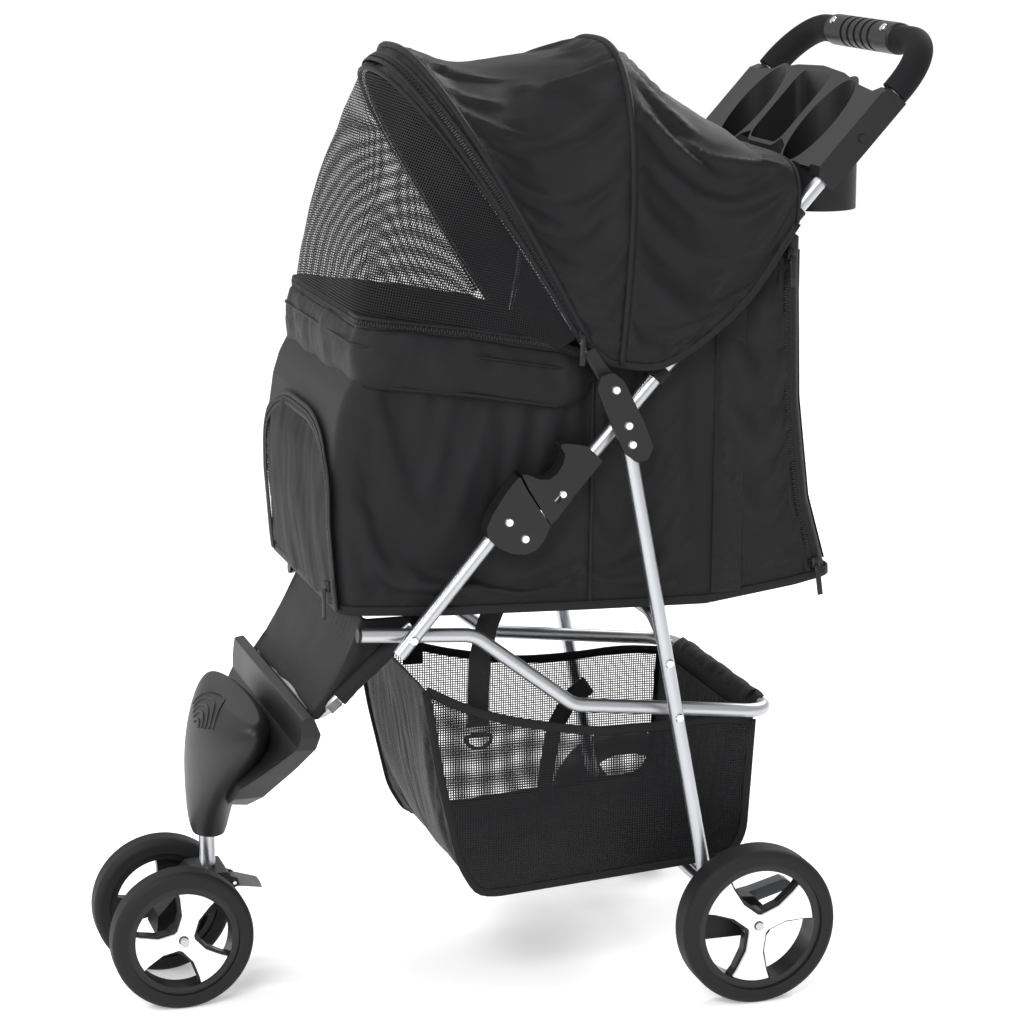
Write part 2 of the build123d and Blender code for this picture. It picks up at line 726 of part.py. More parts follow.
def three_arms(x, depth, centre, first, reach, root, tip, limit):
    """Three arms about a wheel centre, trimmed to the circle of radius limit."""
    with BuildPart() as piece:
        with BuildSketch(side_plane(x)):
            for turn in (0, 120, 240):
                with BuildLine():
                    Polyline(*arm(centre, first + turn, reach, root, tip), close=True)
                make_face()
            with Locations(centre):
                Circle(limit, mode=Mode.INTERSECT)
        extrude(amount=depth)
    return piece


def wheel(name, x, sign, centre, radius, width, first):
    """One wheel about an X axis, its cap on the side given by sign."""
    rim_r = radius - 15.0
    inner_r = rim_r - 7.0
    with BuildPart() as tyre:
        with BuildSketch(side_plane(x - width / 2)):
            with Locations(centre):
                Circle(radius)
                Circle(rim_r + 0.05, mode=Mode.SUBTRACT)
        extrude(amount=width)
        rims = tyre.edges().filter_by(GeomType.CIRCLE).sort_by(SortBy.RADIUS)[-2:]
        fillet(rims, 7.0)
    save(tyre, f"{name}_tyre")
    ribs = three_arms(x - 5 + sign * 2, 10, centre, first, rim_r, 11.5, 29, inner_r + 2)
    with BuildPart() as rim:
        with BuildSketch(side_plane(x - width / 2 + 3)):
            with Locations(centre):
                Circle(rim_r)
                Circle(inner_r, mode=Mode.SUBTRACT)
        extrude(amount=width - 6)
        with BuildSketch(side_plane(x - 8)):
            with Locations(centre):
                Circle(15)
        extrude(amount=16)
        add(ribs.part)
        with BuildSketch(side_plane(x - 40)):
            with Locations(centre):
                Circle(4.06)
        extrude(amount=80, mode=Mode.SUBTRACT)
    save(rim, f"{name}_rim")
    low = min(sign * 8.1, sign * 11.1) + x
    petals = three_arms(low, 3.0, centre, first, rim_r, 8.5, 25, inner_r - 0.8)
    with BuildPart() as cap:
        add(petals.part)
        with BuildSketch(side_plane(low)):
            with Locations(centre):
                Circle(11)
        extrude(amount=3.0)
        with BuildSketch(side_plane(low - 1)):
            with Locations(centre):
                Circle(5.0)
        extrude(amount=5, mode=Mode.SUBTRACT)
    save(cap, f"{name}_cap")


for name, sign in SIDES:
    wheel(f"rear_{name}", sign * REAR_WHEEL_X, sign, REAR_AXLE, REAR_WHEEL_R, 34.0, 22)
    wheel(f"front_{name}", sign * FRONT_WHEEL_X, sign, FRONT_AXLE, FRONT_WHEEL_R, 30.0, 72)
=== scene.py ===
# %% [markdown]
# A folding pet stroller, dressed on top of its packed hard parts.
# The tubes, wheels and plastic parts come in ready made and stay where they are. This
# lesson sews the cloth on: the cabin, the canopy, the mesh window, the basket and the trim.

# %% Load the frame
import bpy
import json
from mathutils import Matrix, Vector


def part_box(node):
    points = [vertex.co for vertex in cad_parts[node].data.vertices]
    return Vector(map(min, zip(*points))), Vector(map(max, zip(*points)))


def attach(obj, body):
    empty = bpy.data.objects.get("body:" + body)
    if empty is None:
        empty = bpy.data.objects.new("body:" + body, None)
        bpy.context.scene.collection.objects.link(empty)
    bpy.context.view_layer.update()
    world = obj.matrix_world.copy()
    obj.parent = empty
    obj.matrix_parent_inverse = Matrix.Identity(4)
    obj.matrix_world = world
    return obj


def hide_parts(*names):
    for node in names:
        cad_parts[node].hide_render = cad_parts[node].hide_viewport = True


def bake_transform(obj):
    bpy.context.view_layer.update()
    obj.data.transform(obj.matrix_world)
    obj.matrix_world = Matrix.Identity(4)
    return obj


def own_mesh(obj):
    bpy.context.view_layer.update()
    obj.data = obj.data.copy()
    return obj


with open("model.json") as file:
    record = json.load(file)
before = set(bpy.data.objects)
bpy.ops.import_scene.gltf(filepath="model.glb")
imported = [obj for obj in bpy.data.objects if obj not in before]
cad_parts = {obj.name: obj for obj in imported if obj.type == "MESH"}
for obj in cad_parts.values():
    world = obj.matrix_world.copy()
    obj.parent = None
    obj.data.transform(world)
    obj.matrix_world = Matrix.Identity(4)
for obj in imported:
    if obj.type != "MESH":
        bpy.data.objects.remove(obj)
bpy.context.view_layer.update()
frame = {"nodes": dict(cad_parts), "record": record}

# %% [markdown]
# Every number below is in working millimetres, measured forwards and back from a zero in
# front of the rear axle. One small helper turns them into metres in the stroller's frame.

# %% Tools used below
import json
import math
import bmesh
import bpy
import numpy as np
from mathutils import Vector, noise
from mathutils.bvhtree import BVHTree

AXLE_Y = 0.184
MIDDLE = sum(c[1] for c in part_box("rear_axle")) / 2 - AXLE_Y


def at(x, y, z):
    """Working millimetres to a point in the stroller's frame in metres."""
    return Vector((x / 1000, y / 1000 + MIDDLE, z / 1000))


print("working zero lies", round(MIDDLE * 1000, 2), "mm from the middle")

# %% [markdown]
# The camera stands to the left of the stroller and a little ahead of it, slightly above
# the canopy, with a long lens so that near and far sides stay almost the same size. It is
# made first, because later cells may want to know what it sees.

# %% Camera
eye = at(2843.3, -879.2, 1138.7)
turn, dip = math.radians(17.06), math.radians(12.71)
look = Vector((-math.cos(turn) * math.cos(dip), math.sin(turn) * math.cos(dip), -math.sin(dip)))
camera_data = bpy.data.cameras.new("camera")
camera_data.lens = 105.7
camera = bpy.data.objects.new("camera", camera_data)
camera.location = eye
camera.rotation_mode = "QUATERNION"
camera.rotation_quaternion = look.to_track_quat("-Z", "Y")
bpy.context.scene.collection.objects.link(camera)
bpy.context.scene.camera = camera
print("camera stands", round(eye.length, 2), "m from the origin")

# %% [markdown]
# A product like this is shown on a white sweep. A large pale floor does for the sweep, and
# three big soft lamps give black cloth its shape: a broad one from the camera side, a high
# one from the front, and a strip behind that draws a thin light edge on tubes and tyres.
# The floor glows faintly, so that it meets the white behind it without a line.

# %% Floor and lights
floor_mesh = bpy.data.meshes.new("floor")
floor_mesh.from_pydata([(-9, -9, 0), (9, -9, 0), (9, 9, 0), (-9, 9, 0)], [], [(0, 1, 2, 3)])
floor = bpy.data.objects.new("floor", floor_mesh)
bpy.context.scene.collection.objects.link(floor)
floor_finish = bpy.data.materials.new("floor_paint")
floor_finish.use_nodes = True
floor_shader = floor_finish.node_tree.nodes["Principled BSDF"]
floor_shader.inputs["Base Color"].default_value = (0.97, 0.97, 0.97, 1)
floor_shader.inputs["Emission Color"].default_value = (1, 1, 1, 1)
floor_shader.inputs["Emission Strength"].default_value = 0.3
floor_shader.inputs["Roughness"].default_value = 0.9
floor_mesh.materials.append(floor_finish)
world = bpy.data.worlds.new("studio")
world.use_nodes = True
backdrop = world.node_tree.nodes["Background"]
backdrop.inputs["Color"].default_value = (1, 1, 1, 1)
seen = world.node_tree.nodes.new("ShaderNodeLightPath").outputs["Is Camera Ray"]
dim = world.node_tree.nodes.new("ShaderNodeMapRange")
dim.inputs["To Min"].default_value, dim.inputs["To Max"].default_value = 0.72, 1.05
world.node_tree.links.new(seen, dim.inputs["Value"])
world.node_tree.links.new(dim.outputs["Result"], backdrop.inputs["Strength"])
bpy.context.scene.world = world
bpy.context.scene.view_settings.view_transform = "Standard"


def soft_lamp(name, place, target, size, power):
    """A square lamp of that size in metres, aimed at a point."""
    data = bpy.data.lights.new(name, "AREA")
    data.size, data.energy = size, power
    lamp = bpy.data.objects.new(name, data)
    lamp.location = Vector(place)
    lamp.rotation_mode = "QUATERNION"
    lamp.rotation_quaternion = (Vector(target) - Vector(place)).to_track_quat("-Z", "Y")
    bpy.context.scene.collection.objects.link(lamp)


soft_lamp("camera_side", (2.6, -1.6, 2.6), (0, 0, 0.5), 1.6, 85)
soft_lamp("high_front", (-0.6, -2.6, 2.8), (0, 0, 0.5), 1.4, 50)
soft_lamp("rim_strip", (-1.6, 2.2, 2.4), (0, 0, 0.6), 1.2, 50)

# %% [markdown]
# Every finish is a small node tree. The helper below keeps the trees short: it adds a node,
# sets its plain values and wires its inputs, so that each finish reads as a recipe.


# %% Finish helpers
def new_finish(name, colour, rough, metal=0.0):
    """A material with a Principled shader; returns the material and its node tree tools."""
    finish = bpy.data.materials.new(name)
    finish.use_nodes = True
    tree = finish.node_tree
    shader = tree.nodes["Principled BSDF"]
    shader.inputs["Base Color"].default_value = (*colour, 1)
    shader.inputs["Roughness"].default_value = rough
    shader.inputs["Metallic"].default_value = metal
    return finish, tree, shader


def node(tree, kind, inputs=None, **settings):
    """Adds a node. inputs maps a socket name or number to a value or to another socket."""
    made = tree.nodes.new(kind)
    for key, value in settings.items():
        setattr(made, key, value)
    for key, value in (inputs or {}).items():
        if isinstance(value, bpy.types.NodeSocket):
            tree.links.new(value, made.inputs[key])
        else:
            made.inputs[key].default_value = value
    return made


def math_node(tree, operation, *values):
    """A Math node's output for the given values or sockets."""
    return node(tree, "ShaderNodeMath", dict(enumerate(values)), operation=operation).outputs[0]


def speckle(tree, vector, scale, detail=3.0, rough=0.5):
    """Noise from 0 to 1 at that scale."""
    inputs = {"Vector": vector, "Scale": scale, "Detail": detail, "Roughness": rough}
    return node(tree, "ShaderNodeTexNoise", inputs).outputs["Fac"]


def spread(tree, value, low, high):
    """Maps a 0 to 1 value on to low to high."""
    inputs = {"Value": value, "To Min": low, "To Max": high}
    return node(tree, "ShaderNodeMapRange", inputs).outputs["Result"]


def tint(tree, shader, value, dark, light):
    """Base colour that wanders between two colours as value does."""
    mix = node(tree, "ShaderNodeMix", {0: value}, data_type="RGBA")
    mix.inputs[6].default_value = (*dark, 1)
    mix.inputs[7].default_value = (*light, 1)
    tree.links.new(mix.outputs[2], shader.inputs["Base Color"])


def bump(tree, shader, height, strength, distance):
    """Feeds a height to the shader's normal."""
    inputs = {"Height": height, "Strength": strength, "Distance": distance}
    tree.links.new(node(tree, "ShaderNodeBump", inputs).outputs[0], shader.inputs["Normal"])


def place_vector(tree, uv):
    """Coordinates in metres: along the cloth for sewn pieces, through space for the rest."""
    return node(tree, "ShaderNodeTexCoord").outputs["UV" if uv else "Object"]


# %% [markdown]
# Satin silver paint on steel tube: metallic, fairly smooth, with a faint orange peel and
# slightly uneven gloss. The zinc of rivets and axles is the same idea with finer scratches.


# %% Metal finishes
def metal_finish(name, colour, rough, peel_scale, peel):
    """Painted or plated metal with a fine surface ripple and uneven gloss."""
    finish, tree, shader = new_finish(name, colour, rough, 1.0)
    vector = place_vector(tree, False)
    ripple = speckle(tree, vector, peel_scale, 2.0)
    smear = speckle(tree, vector, 22.0, 4.0, 0.6)
    rough_socket = spread(tree, smear, rough - 0.06, rough + 0.1)
    tree.links.new(rough_socket, shader.inputs["Roughness"])
    dark = tuple(c * 0.9 for c in colour)
    tint(tree, shader, smear, dark, colour)
    bump(tree, shader, ripple, peel, 0.0003)
    return finish


FINISH = {
    "silver_paint": metal_finish("silver_paint", (0.50, 0.51, 0.53), 0.34, 900.0, 0.12),
    "rivet_steel": metal_finish("rivet_steel", (0.8, 0.8, 0.8), 0.2, 2500.0, 0.1),
    "axle_steel": metal_finish("axle_steel", (0.5, 0.51, 0.53), 0.28, 1800.0, 0.15),
}
print("metal finishes:", ", ".join(FINISH))

# %% [markdown]
# Moulded plastic has a fine leather-like grain from the mould, and handling polishes its
# high spots, so the gloss varies slowly over the part while the bump stays fine.


# %% Plastic finishes
def plastic_finish(name, colour, rough, grain_scale, grain, coat=0.0, gloss=0.35):
    """Moulded plastic with a fine grain, uneven gloss and slight dustiness."""
    finish, tree, shader = new_finish(name, colour, rough)
    vector = place_vector(tree, False)
    grain_height = speckle(tree, vector, grain_scale, 2.0)
    handling = speckle(tree, vector, 14.0, 4.0, 0.6)
    rough_socket = spread(tree, handling, rough - 0.07, rough + 0.09)
    tree.links.new(rough_socket, shader.inputs["Roughness"])
    light = tuple(min(1.0, c * 1.25 + 0.004) for c in colour)
    tint(tree, shader, handling, colour, light)
    shader.inputs["Coat Weight"].default_value = coat
    shader.inputs["Specular IOR Level"].default_value = gloss
    bump(tree, shader, grain_height, grain, 0.0004)
    return finish


FINISH["black_plastic"] = plastic_finish("black_plastic", (0.010, 0.010, 0.011), 0.4, 1500.0, 0.25, 0.0, 0.25)
FINISH["grey_plastic"] = plastic_finish("grey_plastic", (0.11, 0.115, 0.12), 0.45, 1500.0, 0.2)
FINISH["rim_plastic"] = plastic_finish("rim_plastic", (0.008, 0.008, 0.009), 0.3, 1800.0, 0.1, 0.1, 0.25)
FINISH["white_cap"] = plastic_finish("white_cap", (0.86, 0.86, 0.87), 0.2, 900.0, 0.03, 0.6, 0.5)
FINISH["foam"] = plastic_finish("foam", (0.006, 0.006, 0.007), 0.8, 700.0, 0.7, 0.0, 0.15)
FINISH["tyre_rubber"] = plastic_finish("tyre_rubber", (0.010, 0.010, 0.011), 0.6, 1100.0, 0.35, 0.0, 0.18)
print("plastic finishes made:", len(FINISH) - 3)

# %% [markdown]
# The cloth is a plain woven polyester. Its threads are under half a millimetre, so from
# a few metres they only soften the highlights; up close two crossed waves show as weave.
# Sheen gives the pale edge that black polyester has where it turns away.


# %% Cloth finishes
def woven_finish(name, colour, rough, pitch, sheen, uv=True, strength=0.35):
    """Plain weave of that thread pitch in metres, with slow changes of shade."""
    finish, tree, shader = new_finish(name, colour, rough)
    vector = place_vector(tree, uv)
    axes = node(tree, "ShaderNodeSeparateXYZ", {0: vector}).outputs
    turns = 2 * math.pi / pitch
    warp = math_node(tree, "SINE", math_node(tree, "MULTIPLY", axes[0], turns))
    weft = math_node(tree, "SINE", math_node(tree, "MULTIPLY", axes[1], turns))
    weave = math_node(tree, "MULTIPLY", warp, weft)
    slubs = speckle(tree, vector, 0.4 / pitch, 2.0)
    height = math_node(tree, "ADD", weave, slubs)
    shade = speckle(tree, vector, 9.0, 4.0, 0.6)
    light = tuple(c * 1.5 + 0.001 for c in colour)
    tint(tree, shader, shade, colour, light)
    tree.links.new(spread(tree, shade, rough - 0.06, rough + 0.06), shader.inputs["Roughness"])
    shader.inputs["Specular IOR Level"].default_value = 0.2
    shader.inputs["Sheen Weight"].default_value = sheen
    shader.inputs["Sheen Roughness"].default_value = 0.4
    bump(tree, shader, height, strength, pitch * 0.5)
    return finish


FINISH["black_cloth"] = woven_finish("black_cloth", (0.0048, 0.0047, 0.0056), 0.5, 0.0005, 0.02)
FINISH["basket_cloth"] = woven_finish("basket_cloth", (0.004, 0.004, 0.0045), 0.52, 0.0005, 0.015)
FINISH["floor_board"] = woven_finish("floor_board", (0.008, 0.008, 0.009), 0.8, 0.0008, 0.03, False)
FINISH["webbing"] = woven_finish("webbing", (0.013, 0.013, 0.014), 0.6, 0.0022, 0.04, True, 1.0)

# %% [markdown]
# The mesh is knitted with square holes about two millimetres across. Cutting them as real
# holes would take millions of faces, so alpha cuts them instead: a point is thread when
# it is near a grid line of the cloth's own coordinates, and clear otherwise.


# %% Mesh finish
def mesh_finish(name, colour, pitch, thread):
    """Open mesh of that pitch in metres; thread is the solid share of each cell's side."""
    finish, tree, shader = new_finish(name, colour, 0.6)
    shader.inputs["Specular IOR Level"].default_value = 0.2
    axes = node(tree, "ShaderNodeSeparateXYZ", {0: place_vector(tree, True)}).outputs
    solid = []
    for axis in (axes[0], axes[1]):
        cell = math_node(tree, "FRACT", math_node(tree, "DIVIDE", axis, pitch))
        solid.append(math_node(tree, "LESS_THAN", cell, thread))
    alpha = math_node(tree, "MAXIMUM", *solid)
    tree.links.new(alpha, shader.inputs["Alpha"])
    shade = speckle(tree, place_vector(tree, True), 30.0)
    tint(tree, shader, shade, colour, tuple(c * 1.4 for c in colour))
    bump(tree, shader, alpha, 0.4, 0.0003)
    return finish


FINISH["mesh"] = mesh_finish("mesh", (0.006, 0.006, 0.007), 0.0026, 0.42)
FINISH["door_mesh"] = mesh_finish("door_mesh", (0.012, 0.012, 0.013), 0.0034, 0.5)
print("finishes in all:", len(FINISH))

# %% [markdown]
# Each hard part gets the finish it is made of: paint on tubes, grained plastic on housings,
# rubber on tyres and bare steel on rivets and axles.

# %% Dress the hard parts
slot_of = {row["node"]: row["material_slot"] for row in frame["record"]["subparts"]}
for name, part in frame["nodes"].items():
    part.data.materials.clear()
    part.data.materials.append(FINISH[slot_of[name]])
print("hard parts dressed:", len(slot_of))

# %% [markdown]
# Cloth is drawn as grids of points. A grid knows its rows and columns, so the same helper
# can sew it into a mesh and lay a flat pattern over it, in metres, for the weave to follow.


# %% Grid helpers
def grid_mesh(name, points, finish, closed=False, smooth=True, lay=None):
    """A mesh from rows and columns of metre points, with its weave laid along the rows."""
    rows, cols = points.shape[:2]
    mesh = bpy.data.meshes.new(name)
    faces = []
    wrap = cols if closed else cols - 1
    for r in range(rows - 1):
        for c in range(wrap):
            d = (c + 1) % cols
            faces.append((r * cols + c, r * cols + d, (r + 1) * cols + d, (r + 1) * cols + c))
    mesh.from_pydata(points.reshape(-1, 3).tolist(), [], faces)
    ring = np.concatenate([points, points[:, :1]], axis=1) if closed else points
    along = np.linalg.norm(np.diff(ring, axis=1), axis=2).mean(axis=0)
    up = np.linalg.norm(np.diff(points, axis=0), axis=2).mean(axis=1)
    u_at = np.concatenate([[0], np.cumsum(along)])
    v_at = np.concatenate([[0], np.cumsum(up)])
    layer = mesh.uv_layers.new(name="cloth")
    for k in range(len(faces)):
        r, c = divmod(k, wrap)
        corners = ((c, r), (c + 1, r), (c + 1, r + 1), (c, r + 1))
        for j, (cu, cv) in enumerate(corners):
            layer.data[4 * k + j].uv = (u_at[cu], v_at[cv]) if lay is None else lay[cv, cu]
    mesh.polygons.foreach_set("use_smooth", [smooth] * len(faces))
    mesh.materials.append(finish)
    made = bpy.data.objects.new(name, mesh)
    bpy.context.scene.collection.objects.link(made)
    return made


def square_lay(points):
    """Pattern places whose spacing follows each row's own length, for open mesh."""
    across = np.linalg.norm(np.diff(points, axis=1), axis=2)
    u = np.concatenate([np.zeros((len(points), 1)), np.cumsum(across, axis=1)], axis=1)
    u -= u[:, -1:] / 2
    up = np.linalg.norm(np.diff(points, axis=0), axis=2)
    v = np.concatenate([np.zeros((1, points.shape[1])), np.cumsum(up, axis=0)])
    return np.stack([u + 1, v + 1], axis=2)


def cut_size(points):
    """Width and length of the flat cloth a grid was cut from, in metres."""
    wide = np.linalg.norm(np.diff(points, axis=1), axis=2).sum(axis=1).mean()
    long = np.linalg.norm(np.diff(points, axis=0), axis=2).sum(axis=0).mean()
    return (round(float(wide), 3), round(float(long), 3))


def mix(a, b, t):
    """Straight blend of two numbers or arrays."""
    return a + (b - a) * t


def curve_through(knots, values, t):
    """Smooth curve through values at knots, read at t, without overshooting corners much."""
    knots, values, t = np.asarray(knots, float), np.asarray(values, float), np.asarray(t, float)
    slopes = np.gradient(values, knots, axis=0)
    k = np.clip(np.searchsorted(knots, t, side="right") - 1, 0, len(knots) - 2)
    h = knots[k + 1] - knots[k]
    s = (t - knots[k]) / h
    shape = s.shape + (1,) * (values.ndim - 1)
    s, h = s.reshape(shape), h.reshape(shape)
    a, b, da, db = values[k], values[k + 1], slopes[k] * h, slopes[k + 1] * h
    s2, s3 = s * s, s * s * s
    return (
        (2 * s3 - 3 * s2 + 1) * a + (s3 - 2 * s2 + s) * da
        + (-2 * s3 + 3 * s2) * b + (s3 - s2) * db
    )


def place_all(points):
    """Working millimetres to metres for a whole array of points."""
    out = np.asarray(points, float) / 1000
    out[..., 1] += MIDDLE
    return out


def resample(points, count, closed=False):
    """The same polyline with evenly spaced points."""
    points = np.asarray(points, float)
    if closed:
        points = np.vstack([points, points[:1]])
    steps = np.linalg.norm(np.diff(points, axis=0), axis=1)
    run = np.concatenate([[0], np.cumsum(steps)])
    where = np.linspace(0, run[-1], count + 1)[:-1] if closed else np.linspace(0, run[-1], count)
    return np.stack([np.interp(where, run, points[:, k]) for k in range(points.shape[1])], 1)


def rounded(corners, radius, steps=6):
    """A polyline with its corners turned to short arcs."""
    corners = [np.asarray(c, float) for c in corners]
    out = [corners[0]]
    for a, b, c in zip(corners, corners[1:], corners[2:]):
        back, ahead = a - b, c - b
        cut = min(radius, np.linalg.norm(back) / 2, np.linalg.norm(ahead) / 2)
        start = b + back / np.linalg.norm(back) * cut
        end = b + ahead / np.linalg.norm(ahead) * cut
        for i in range(steps + 1):
            t = i / steps
            out.append((1 - t) ** 2 * start + 2 * t * (1 - t) * b + t * t * end)
    out.append(corners[-1])
    return np.array(out)


# %% [markdown]
# Real cloth is never smooth. Two tricks make it so here. The first is a short cloth
# simulation: the panel is pinned where it is sewn, made a touch larger than its frame, and
# left to buckle for a few frames. The second is a gentle push of noise along the surface.


# %% Cloth helpers
def relax_cloth(piece, pins, frames=14, extra=0.02, stiffness=15.0, bend=0.6, cap=0.012, fall=1.0):
    """Lets a grid of cloth settle between its pins, then keeps the result."""
    start = np.array([v.co for v in piece.data.vertices])
    group = piece.vertex_groups.new(name="sewn")
    for weight in sorted(set(np.round(pins, 2))):
        chosen = np.nonzero(np.round(pins, 2) == weight)[0]
        if weight > 0:
            group.add([int(i) for i in chosen], float(weight), "REPLACE")
    cloth = piece.modifiers.new("settle", "CLOTH")
    cloth.settings.vertex_group_mass = "sewn"
    cloth.settings.quality = 5
    cloth.settings.mass = 0.15
    cloth.settings.tension_stiffness = stiffness
    cloth.settings.compression_stiffness = stiffness
    cloth.settings.bending_stiffness = bend
    cloth.settings.shrink_min = -extra
    cloth.settings.effector_weights.gravity = fall
    cloth.collision_settings.use_collision = False
    cloth.point_cache.frame_start, cloth.point_cache.frame_end = 1, frames
    for step in range(1, frames + 1):
        bpy.context.scene.frame_set(step)
    shape = piece.evaluated_get(bpy.context.evaluated_depsgraph_get()).to_mesh()
    settled = np.array([v.co for v in shape.vertices])
    piece.modifiers.remove(cloth)
    bpy.context.scene.frame_set(1)
    moved = settled - start
    length = np.linalg.norm(moved, axis=1, keepdims=True) + 1e-9
    moved *= np.minimum(length, cap) / length
    piece.data.vertices.foreach_set("co", (start + moved).ravel())
    piece.data.update()
    print(piece.name, "settled by up to", round(float(length.max()) * 1000, 1), "mm")


def crumple(piece, depth, scale, seed, hold=None, stretch=(1, 1, 1)):
    """Pushes points along their normals by smooth noise; hold is 0 where cloth is taut."""
    stretch = Vector(stretch)
    shift = Vector((seed * 3.1, seed * 1.7, seed * 2.3))
    normals = [v.normal.copy() for v in piece.data.vertices]
    for i, v in enumerate(piece.data.vertices):
        p = Vector(a * b for a, b in zip(v.co, stretch)) * scale + shift
        push = noise.fractal(p, 1.0, 2.0, 3) * depth
        v.co += normals[i] * push * (1.0 if hold is None else float(hold[i]))
    piece.data.update()


def thicken(piece, thickness=0.0012, offset=0.0):
    """Gives a sheet two faces and an edge."""
    solid = piece.modifiers.new("thickness", "SOLIDIFY")
    solid.thickness, solid.offset = thickness, offset
    bake(piece)


def bake(piece):
    """Makes the modifiers' result the piece's own mesh."""
    shape = piece.evaluated_get(bpy.context.evaluated_depsgraph_get())
    mesh = bpy.data.meshes.new_from_object(shape)
    piece.modifiers.clear()
    piece.data = mesh


# %% [markdown]
# Piping, seams and binding are all the same thing to a sewer: a cord or tape run along
# a line. So one helper sweeps a small closed outline along a line of points, and the
# seams, zips and straps below only differ in the outline and the line.


# %% Sweep helper
def frames_along(path):
    """Unit tangents of a polyline."""
    tangents = np.gradient(path, axis=0)
    return tangents / (np.linalg.norm(tangents, axis=1, keepdims=True) + 1e-12)


def sweep_outline(name, path, outwards, outline, finish, ride_on, caps=True):
    """Sweeps an outline of (across, out) millimetres along a metre path."""
    path = np.asarray(path, float)
    tangent = frames_along(path)
    out = np.broadcast_to(np.asarray(outwards, float), path.shape).copy()
    out -= (out * tangent).sum(1, keepdims=True) * tangent
    out /= np.linalg.norm(out, axis=1, keepdims=True) + 1e-12
    across = np.cross(tangent, out)
    shape = np.asarray(outline, float) / 1000
    rows = path[:, None] + across[:, None] * shape[None, :, :1] + out[:, None] * shape[None, :, 1:]
    made = grid_mesh(name, rows, finish, closed=True)
    if caps:
        mesh = made.data
        count = len(shape)
        last = (len(path) - 1) * count
        build = bmesh.new()
        build.from_mesh(mesh)
        build.verts.ensure_lookup_table()
        build.faces.new([build.verts[i] for i in range(count - 1, -1, -1)])
        build.faces.new([build.verts[last + i] for i in range(count)])
        build.to_mesh(mesh)
        build.free()
    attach(made, ride_on)
    return made


def cord_outline(radius, steps=8):
    """A round outline for piping."""
    turn = np.arange(steps) * 2 * math.pi / steps
    return np.stack([np.cos(turn) * radius, np.sin(turn) * radius], 1)


def tape_outline(width, thick):
    """A flat outline for webbing and binding."""
    w, t, b = width / 2, thick / 2, min(thick, width) * 0.25
    return [(-w, -t + b), (-w + b, -t), (w - b, -t), (w, -t + b),
            (w, t - b), (w - b, t), (-w + b, t), (-w, t - b)]


def zip_run(name, path, outwards, ride_on, width=22, teeth_pitch=2.6):
    """A closed zip: two raised tapes, a groove, and a coil of small teeth in the middle."""
    half = width / 2
    tape = [(-half, -0.4), (half, -0.4), (half, 0.5), (half - 2, 1.1), (3.4, 1.1), (2.6, 0.3),
            (-2.6, 0.3), (-3.4, 1.1), (-half + 2, 1.1), (-half, 0.5)]
    body = sweep_outline(name + "_tape", path, outwards, tape, FINISH["black_cloth"], ride_on)
    length = float(np.linalg.norm(np.diff(path, axis=0), axis=1).sum())
    count = int(length * 1000 / teeth_pitch)
    line = resample(path, count)
    tangent = frames_along(line)
    out = np.broadcast_to(np.asarray(outwards, float), path.shape)
    where = np.linspace(0, 1, len(path))
    out = np.stack([np.interp(np.linspace(0, 1, count), where, out[:, k]) for k in range(3)], 1)
    out = out - (out * tangent).sum(1, keepdims=True) * tangent
    out /= np.linalg.norm(out, axis=1, keepdims=True) + 1e-12
    across = np.cross(tangent, out)
    box = np.array([(x, y, z) for x in (-1, 1) for y in (-1, 1) for z in (-1, 1)], float)
    box *= np.array([0.0019, 0.0007, 0.0006])
    sides = [(0, 1, 3, 2), (4, 6, 7, 5), (0, 4, 5, 1), (2, 3, 7, 6), (0, 2, 6, 4), (1, 5, 7, 3)]
    points, faces = [], []
    for i in range(count):
        side = 0.0005 if i % 2 else -0.0005
        centre = line[i] + out[i] * 0.0008 + across[i] * side
        for bx, by, bz in box:
            points.append(centre + across[i] * bx + tangent[i] * by + out[i] * bz)
        faces += [tuple(8 * i + j for j in side_face) for side_face in sides]
    mesh = bpy.data.meshes.new(name + "_teeth")
    mesh.from_pydata([tuple(p) for p in points], [], faces)
    mesh.materials.append(FINISH["black_plastic"])
    teeth = bpy.data.objects.new(name + "_teeth", mesh)
    bpy.context.scene.collection.objects.link(teeth)
    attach(teeth, ride_on)
    return [body, teeth]


SQUASHED = []


def goes_down(*pieces_made):
    """Collects cabin pieces, which get their own mesh copies at the end."""
    for piece in pieces_made:
        SQUASHED.append(piece)


# %% [markdown]
# The cabin is a tall cloth box on a stiff floor. Its front leans out and its back wall
# leans back, so each wall is a curve from the floor line to the top line. One loop of cloth
# runs round all four sides with small rounded corners: that is how the real one is sewn.

# %% Cabin walls
FRONT_LINE = ([404, 430, 500, 560, 600, 622, 640, 690, 780],
              [-219, -222, -227, -227, -221, -214, -204, -196, -185])
REAR_LINE = ([400, 421, 495, 596, 700, 780], [284, 279, 258, 246, 243, 243])
BOTTOM_LINE = ([-230, -120, 27, 147, 240, 290], [416, 408, 403, 400, 412, 422])
TOP_LINE = ([-205, -100, -8, 40, 96, 160, 232, 250], [686, 672, 655, 650, 656, 704, 762, 752])
HALF_WIDTH = 148.5


def cabin_loop(count=300, radius=16.0):
    """Points round the cabin as (x, share of the way back), evenly spaced."""
    box = [(HALF_WIDTH, 245), (HALF_WIDTH, 480), (-HALF_WIDTH, 480), (-HALF_WIDTH, 0),
           (HALF_WIDTH, 0), (HALF_WIDTH, 245)]
    return resample(rounded(box, radius)[:-1], count, closed=True)


